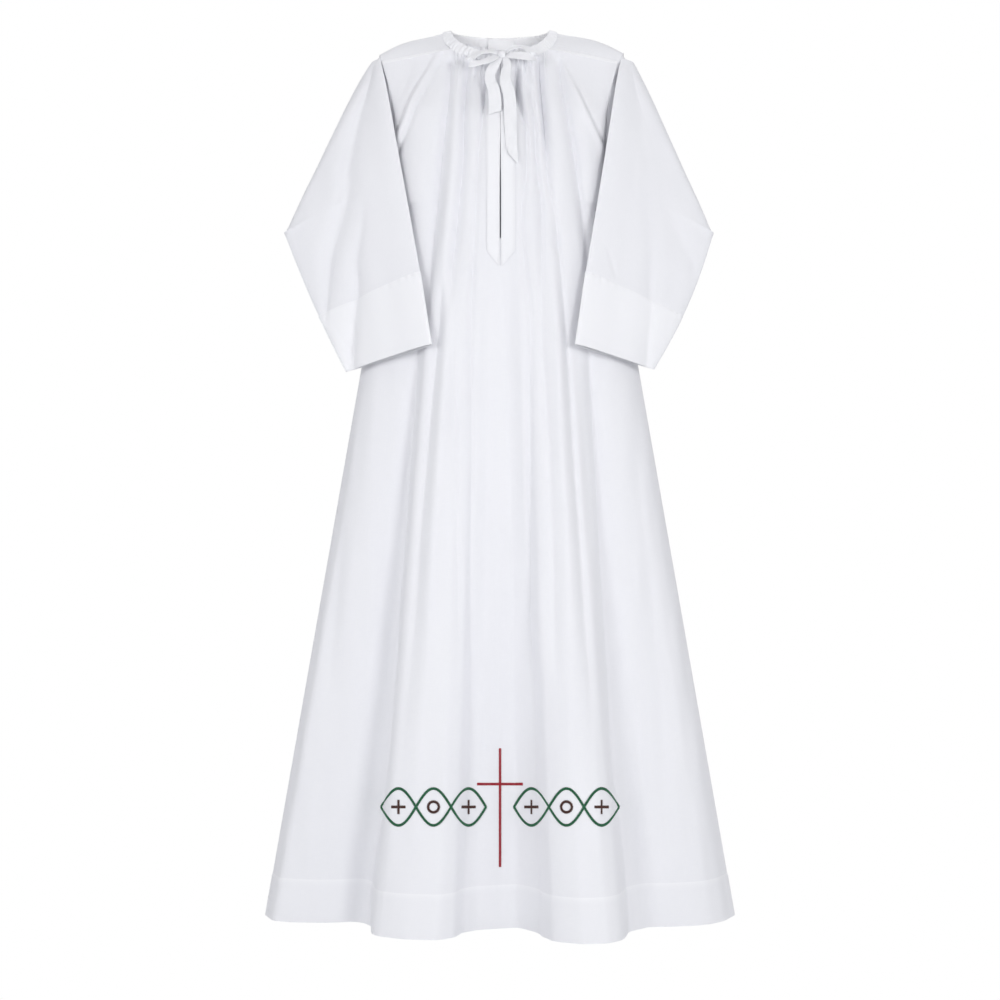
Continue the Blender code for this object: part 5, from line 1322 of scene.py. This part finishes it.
def sewing_tree():
    """Stitches along a line: each is a small grain of thread laid on the cloth, in line or across."""
    tree = bpy.data.node_groups.new("stitches along a line", "GeometryNodeTree")
    face = tree.interface
    face.new_socket("Line", in_out="INPUT", socket_type="NodeSocketGeometry")
    for label, default in (("Pitch", 0.003), ("Length", 0.0024), ("Width", 0.0005), ("Height", 0.0005),
                           ("Turn", 0.0)):
        face.new_socket(label, in_out="INPUT", socket_type="NodeSocketFloat").default_value = default
    face.new_socket("Thread", in_out="INPUT", socket_type="NodeSocketMaterial")
    face.new_socket("Stitches", in_out="OUTPUT", socket_type="NodeSocketGeometry")
    start = tree.nodes.new("NodeGroupInput")
    end = tree.nodes.new("NodeGroupOutput")
    curve = put(tree, "GeometryNodeMeshToCurve", {0: start.outputs["Line"]})
    steps = put(tree, "GeometryNodeResampleCurve", {"Curve": curve.outputs[0],
                                                    "Length": start.outputs["Pitch"]}, mode="LENGTH")
    half = put(tree, "ShaderNodeCombineXYZ", {0: start.outputs["Length"], 1: start.outputs["Width"],
                                              2: start.outputs["Height"]})
    grain = put(tree, "GeometryNodeMeshIcoSphere", {"Radius": 0.5, "Subdivisions": 1})
    shaped = put(tree, "GeometryNodeTransform", {"Geometry": grain.outputs["Mesh"], "Scale": half.outputs[0]})
    shaded = put(tree, "GeometryNodeSetShadeSmooth", {0: shaped.outputs[0]})
    out = put(tree, "GeometryNodeInputNamedAttribute", {"Name": "out"}, data_type="FLOAT_VECTOR")
    along = put(tree, "GeometryNodeInputTangent", {})
    up = put(tree, "FunctionNodeAlignRotationToVector", {"Vector": out.outputs[0]}, axis="Z")
    lined = put(tree, "FunctionNodeAlignRotationToVector", {"Rotation": up.outputs[0],
                                                            "Vector": along.outputs[0]},
                axis="X", pivot_axis="Z")
    angle = put(tree, "ShaderNodeCombineXYZ", {2: start.outputs["Turn"]})
    crossed = put(tree, "FunctionNodeRotateRotation", {0: lined.outputs[0], 1: angle.outputs[0]},
                  rotation_space="LOCAL")
    laid = put(tree, "GeometryNodeInstanceOnPoints", {"Points": steps.outputs[0],
                                                      "Instance": shaded.outputs[0],
                                                      "Rotation": crossed.outputs[0]})
    real = put(tree, "GeometryNodeRealizeInstances", {0: laid.outputs[0]})
    done = put(tree, "GeometryNodeSetMaterial", {"Geometry": real.outputs[0],
                                                 "Material": start.outputs["Thread"]})
    tree.links.new(done.outputs[0], end.inputs[0])
    return tree


SEWING = sewing_tree()


def thread_look(name, light, dark, roughness=0.45):
    """Twisted sewing or embroidery thread: two close colours in fine slanting strands."""
    look = bpy.data.materials.new(name)
    look.use_nodes = True
    tree = look.node_tree
    shader = tree.nodes["Principled BSDF"]
    shader.inputs["Sheen Weight"].default_value = 0.10
    place = put(tree, "ShaderNodeTexCoord", {}).outputs["Object"]
    wave = put(tree, "ShaderNodeTexWave", {"Vector": place, "Scale": 900.0, "Distortion": 2.0},
               bands_direction="DIAGONAL")
    patch = put(tree, "ShaderNodeTexNoise", {"Vector": place, "Scale": 160.0, "Detail": 2.0})
    colour = colours(tree, maths(tree, "MULTIPLY", wave.outputs["Fac"], patch.outputs["Fac"]), dark, light)
    rough = put(tree, "ShaderNodeMapRange", {"Value": patch.outputs["Fac"], "To Min": roughness - 0.08,
                                             "To Max": roughness + 0.12})
    bump = put(tree, "ShaderNodeBump", {"Height": wave.outputs["Fac"], "Distance": 0.00005, "Strength": 0.6})
    tree.links.new(colour, shader.inputs["Base Color"])
    tree.links.new(rough.outputs[0], shader.inputs["Roughness"])
    tree.links.new(bump.outputs["Normal"], shader.inputs["Normal"])
    return look


WHITE_THREAD = thread_look("white thread", (0.940, 0.942, 0.960), (0.860, 0.864, 0.890))


def sewn(name, lines, look, turn=0.0, sizes=THREAD):
    """Stitches along lines, each a row of points and the directions out of the cloth there."""
    mesh = bpy.data.meshes.new(name)
    points = np.concatenate([p for p, _ in lines])
    outs = np.concatenate([o for _, o in lines])
    first = np.cumsum([0] + [len(p) for p, _ in lines])
    edges = [(k, k + 1) for a, b in zip(first[:-1], first[1:]) for k in range(a, b - 1)]
    mesh.from_pydata(points.tolist(), edges, [])
    layer = mesh.attributes.new("out", "FLOAT_VECTOR", "POINT")
    layer.data.foreach_set("vector", outs.astype(np.float32).ravel())
    guide = bpy.data.objects.new(name + "_guide", mesh)
    bpy.context.scene.collection.objects.link(guide)
    modifier = guide.modifiers.new("stitches", "NODES")
    modifier.node_group = SEWING
    values = {"Pitch": sizes["pitch"], "Length": sizes["length"], "Width": sizes["width"],
              "Height": sizes["height"], "Turn": turn, "Thread": look}
    for item in SEWING.interface.items_tree:
        if item.item_type == "SOCKET" and item.in_out == "INPUT" and item.name in values:
            modifier[item.identifier] = values[item.name]
    graph = bpy.context.evaluated_depsgraph_get()
    result = bpy.data.meshes.new_from_object(guide.evaluated_get(graph), depsgraph=graph)
    result.name = name
    made = bpy.data.objects.new(name, result)
    bpy.data.objects.remove(guide, do_unlink=True)
    bpy.data.meshes.remove(mesh)
    bpy.context.scene.collection.objects.link(made)
    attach(made, "root")
    return made


def row_line(grid, out, row, rise, closed=False):
    """A line along a row of a grid; a closed one comes back to its first point."""
    points, outs = grid[row], out[row]
    if closed:
        points = np.append(points, points[:1], axis=0)
        outs = np.append(outs, outs[:1], axis=0)
    return points + outs * rise, outs


def blend_line(grid, out, axis, share, rise):
    """A line at a share of the way along an axis of a grid."""
    place = share * (grid.shape[axis] - 1)
    low_index = min(int(place), grid.shape[axis] - 2)
    part = place - low_index
    line = np.take(grid, low_index, axis) * (1 - part) + np.take(grid, low_index + 1, axis) * part
    direction = unit(np.take(out, low_index, axis))
    return line + direction * rise, direction


sewn("stitches_hem", [row_line(grid, out, STITCH_ROW + 1, HEM_STITCH_RISE)
                      for grid, out in ((front_grid, front_out), (back_grid, back_out))], WHITE_THREAD)
sewn("stitches_cuffs", [row_line(grid, out, 1, STITCH_RISE, closed=True)
                        for grid, out in cuff_grids.values()], WHITE_THREAD)
# Each placket has a line beside each long edge and two across its foot
sewn("stitches_plackets", [blend_line(grid, out, axis, share, STITCH_RISE)
                           for grid, out in placket_grids.values()
                           for axis, share in ((1, 0.10), (1, 0.90), (0, 0.985), (0, 0.90))], WHITE_THREAD)

# ---- Embroidery
# A band across the front of the skirt above the hem, in satin stitch of rayon thread: a tall plain red cross,
# and to each side two green lines that wave through one another, with small brown devices in the spaces.

# The band's height, how far its lines wave up and down, where they start and end, and waves on each side
BAND_Z = -1.258
BAND_RISE = 0.029
BAND_START = 0.022
BAND_END = 0.187
BAND_WAVES = 1.5
BAND_DEVICES = ("cross", "ring", "cross")
DEVICE_ARM = 0.011
DEVICE_RADIUS = 0.0085
LINE_WIDTH = 0.0054
SATIN = {"pitch": 0.00048, "length": LINE_WIDTH, "width": 0.00056, "height": 0.0011}

red_look = thread_look("red thread", (0.62, 0.035, 0.05), (0.34, 0.015, 0.03), 0.40)
green_look = thread_look("green thread", (0.02, 0.22, 0.09), (0.008, 0.10, 0.04), 0.40)
brown_look = thread_look("brown thread", (0.13, 0.035, 0.02), (0.05, 0.015, 0.01), 0.40)

# Where the garment is looked at from
EYE = Vector((0.0, -3.0, -0.7757))

front_points = front_grid[body].reshape(-1, 3)
front_tree = BVHTree.FromPolygons([Vector(p) for p in front_points],
                                  quads(STITCH_ROW + 1, front_grid.shape[1]).reshape(-1, 4).tolist())


def on_front(line, rise=0.0004):
    """A line of x and z drawn flat before the skirt, laid on its folds as they are seen from the eye."""
    places = []
    outs = []
    for x, z in line:
        hit, normal, _, _ = front_tree.ray_cast(EYE, Vector((x, -0.15, z)) - EYE)
        normal = normal if normal.y < 0 else -normal
        places.append(np.array(hit) + np.array(normal) * rise)
        outs.append(np.array(normal))
    return np.array(places), np.array(outs)


def straight(x0, z0, x1, z1, count=60):
    return np.stack([np.linspace(x0, x1, count), np.linspace(z0, z1, count)], axis=-1)


red_lines = [straight(0.0, -1.166, 0.0, -1.352), straight(-0.036, -1.222, 0.036, -1.222)]
green_lines = []
brown_lines = []
for side in (-1, 1):
    length = BAND_END - BAND_START
    run = np.linspace(0.0, length, 240)
    for phase in (1, -1):
        wave = phase * BAND_RISE * np.sin(np.pi * run / (0.5 * length / BAND_WAVES))
        green_lines.append(np.stack([side * (BAND_START + run), BAND_Z + wave], axis=-1))
    for k, kind in enumerate(BAND_DEVICES):
        x = side * (BAND_START + (k + 0.5) * length / len(BAND_DEVICES))
        if kind == "cross":
            brown_lines += [straight(x - DEVICE_ARM, BAND_Z, x + DEVICE_ARM, BAND_Z, 12),
                            straight(x, BAND_Z - DEVICE_ARM, x, BAND_Z + DEVICE_ARM, 12)]
        else:
            turn = np.linspace(0, 2 * math.pi, 30)
            brown_lines.append(np.stack([x + DEVICE_RADIUS * np.cos(turn),
                                         BAND_Z + DEVICE_RADIUS * np.sin(turn)], axis=-1))
for name, lines, look in (("embroidery_red", red_lines, red_look),
                          ("embroidery_green", green_lines, green_look),
                          ("embroidery_brown", brown_lines, brown_look)):
    sewn(name, [on_front(line) for line in lines], look, turn=0.5 * math.pi, sizes=SATIN)

# ---- Studio
# A seamless pale floor under the hanging garment, two soft lamps in front, one above and one on each side, a
# small glow within the neck, and pale light from all round.

FLOOR_Z = -1.80
FLOOR_HALF = 30
floor_mesh = bpy.data.meshes.new("floor")
floor_mesh.from_pydata([(x * FLOOR_HALF, y * FLOOR_HALF, FLOOR_Z)
                        for x, y in ((-1, -1), (1, -1), (1, 1), (-1, 1))], [], [(0, 1, 2, 3)])
floor = bpy.data.objects.new("floor", floor_mesh)
bpy.context.scene.collection.objects.link(floor)
floor_look = bpy.data.materials.new("pale floor")
floor_look.use_nodes = True
tree = floor_look.node_tree
shader = tree.nodes["Principled BSDF"]
shader.inputs["Roughness"].default_value = 0.9
grain = put(tree, "ShaderNodeTexNoise", {"Vector": put(tree, "ShaderNodeTexCoord", {}).outputs["Object"],
                                         "Scale": 3.0})
pale = colours(tree, grain.outputs["Fac"], (0.80, 0.81, 0.83), (0.82, 0.83, 0.85))
tree.links.new(pale, shader.inputs["Base Color"])
glow = put(tree, "ShaderNodeEmission", {"Color": (1.0, 1.0, 1.0, 1.0), "Strength": 1.0})
rays = put(tree, "ShaderNodeLightPath", {})
clear = put(tree, "ShaderNodeMixShader", {0: rays.outputs["Is Camera Ray"], 1: shader.outputs[0],
                                          2: glow.outputs[0]})
tree.links.new(clear.outputs[0], tree.nodes["Material Output"].inputs["Surface"])
floor_mesh.materials.append(floor_look)

world = bpy.data.worlds.new("studio")
bpy.context.scene.world = world
world.use_nodes = True
tree = world.node_tree
ambient = tree.nodes["Background"]
ambient.inputs["Color"].default_value = (0.975, 0.98, 1.0, 1.0)
above = put(tree, "ShaderNodeSeparateXYZ", {0: put(tree, "ShaderNodeTexCoord", {}).outputs["Generated"]})
level = put(tree, "ShaderNodeMapRange", {"Value": above.outputs[2], "From Min": -0.2, "From Max": 0.9,
                                         "To Min": 0.64, "To Max": 0.40})
tree.links.new(level.outputs[0], ambient.inputs["Strength"])
seen = put(tree, "ShaderNodeBackground", {"Color": (1.0, 1.0, 1.0, 1.0), "Strength": 1.0})
rays = put(tree, "ShaderNodeLightPath", {})
mixed = put(tree, "ShaderNodeMixShader", {0: rays.outputs["Is Camera Ray"], 1: ambient.outputs[0],
                                          2: seen.outputs[0]})
tree.links.new(mixed.outputs[0], tree.nodes["World Output"].inputs["Surface"])


def soft_lamp(name, place, target, size, power):
    """A round area lamp at a place, turned to its target."""
    data = bpy.data.lights.new(name, "AREA")
    data.shape = "DISK"
    data.size = size
    data.energy = power
    lamp = bpy.data.objects.new(name, data)
    lamp.location = place
    lamp.rotation_euler = (Vector(target) - Vector(place)).to_track_quat("-Z", "Y").to_euler()
    bpy.context.scene.collection.objects.link(lamp)
    return lamp


soft_lamp("front_right", (-1.40, -2.50, -0.25), (0.0, 0.0, -0.80), 0.9, 19.0)
soft_lamp("front_left", (1.40, -2.50, -0.25), (0.0, 0.0, -0.80), 0.9, 21.6)
soft_lamp("above", (0.0, 0.05, 1.9), (0.0, 0.0, -0.30), 0.9, 8.0)
soft_lamp("side_right", (-2.4, -1.3, -0.60), (0.0, 0.0, -0.80), 1.5, 6.0)
soft_lamp("side_left", (2.4, -1.3, -0.60), (0.0, 0.0, -0.80), 1.5, 6.5)

# The light that comes through the thin white cloth round the neck
glow_lamp = soft_lamp("neck", (0.0, -0.020, -0.070), (0.0, 0.075, 0.0), 0.06, 0.035)
glow_lamp.visible_camera = False

# The camera takes in this width at the garment's own distance
FRAME_WIDTH = 1.654
camera_data = bpy.data.cameras.new("camera")
camera_data.sensor_width = 36.0
camera_data.lens = camera_data.sensor_width * -EYE.y / FRAME_WIDTH
camera = bpy.data.objects.new("camera", camera_data)
camera.location = EYE
camera.rotation_euler = (math.radians(90), 0.0, 0.0)
bpy.context.scene.collection.objects.link(camera)
bpy.context.scene.camera = camera
bpy.context.scene.view_settings.view_transform = "Standard"
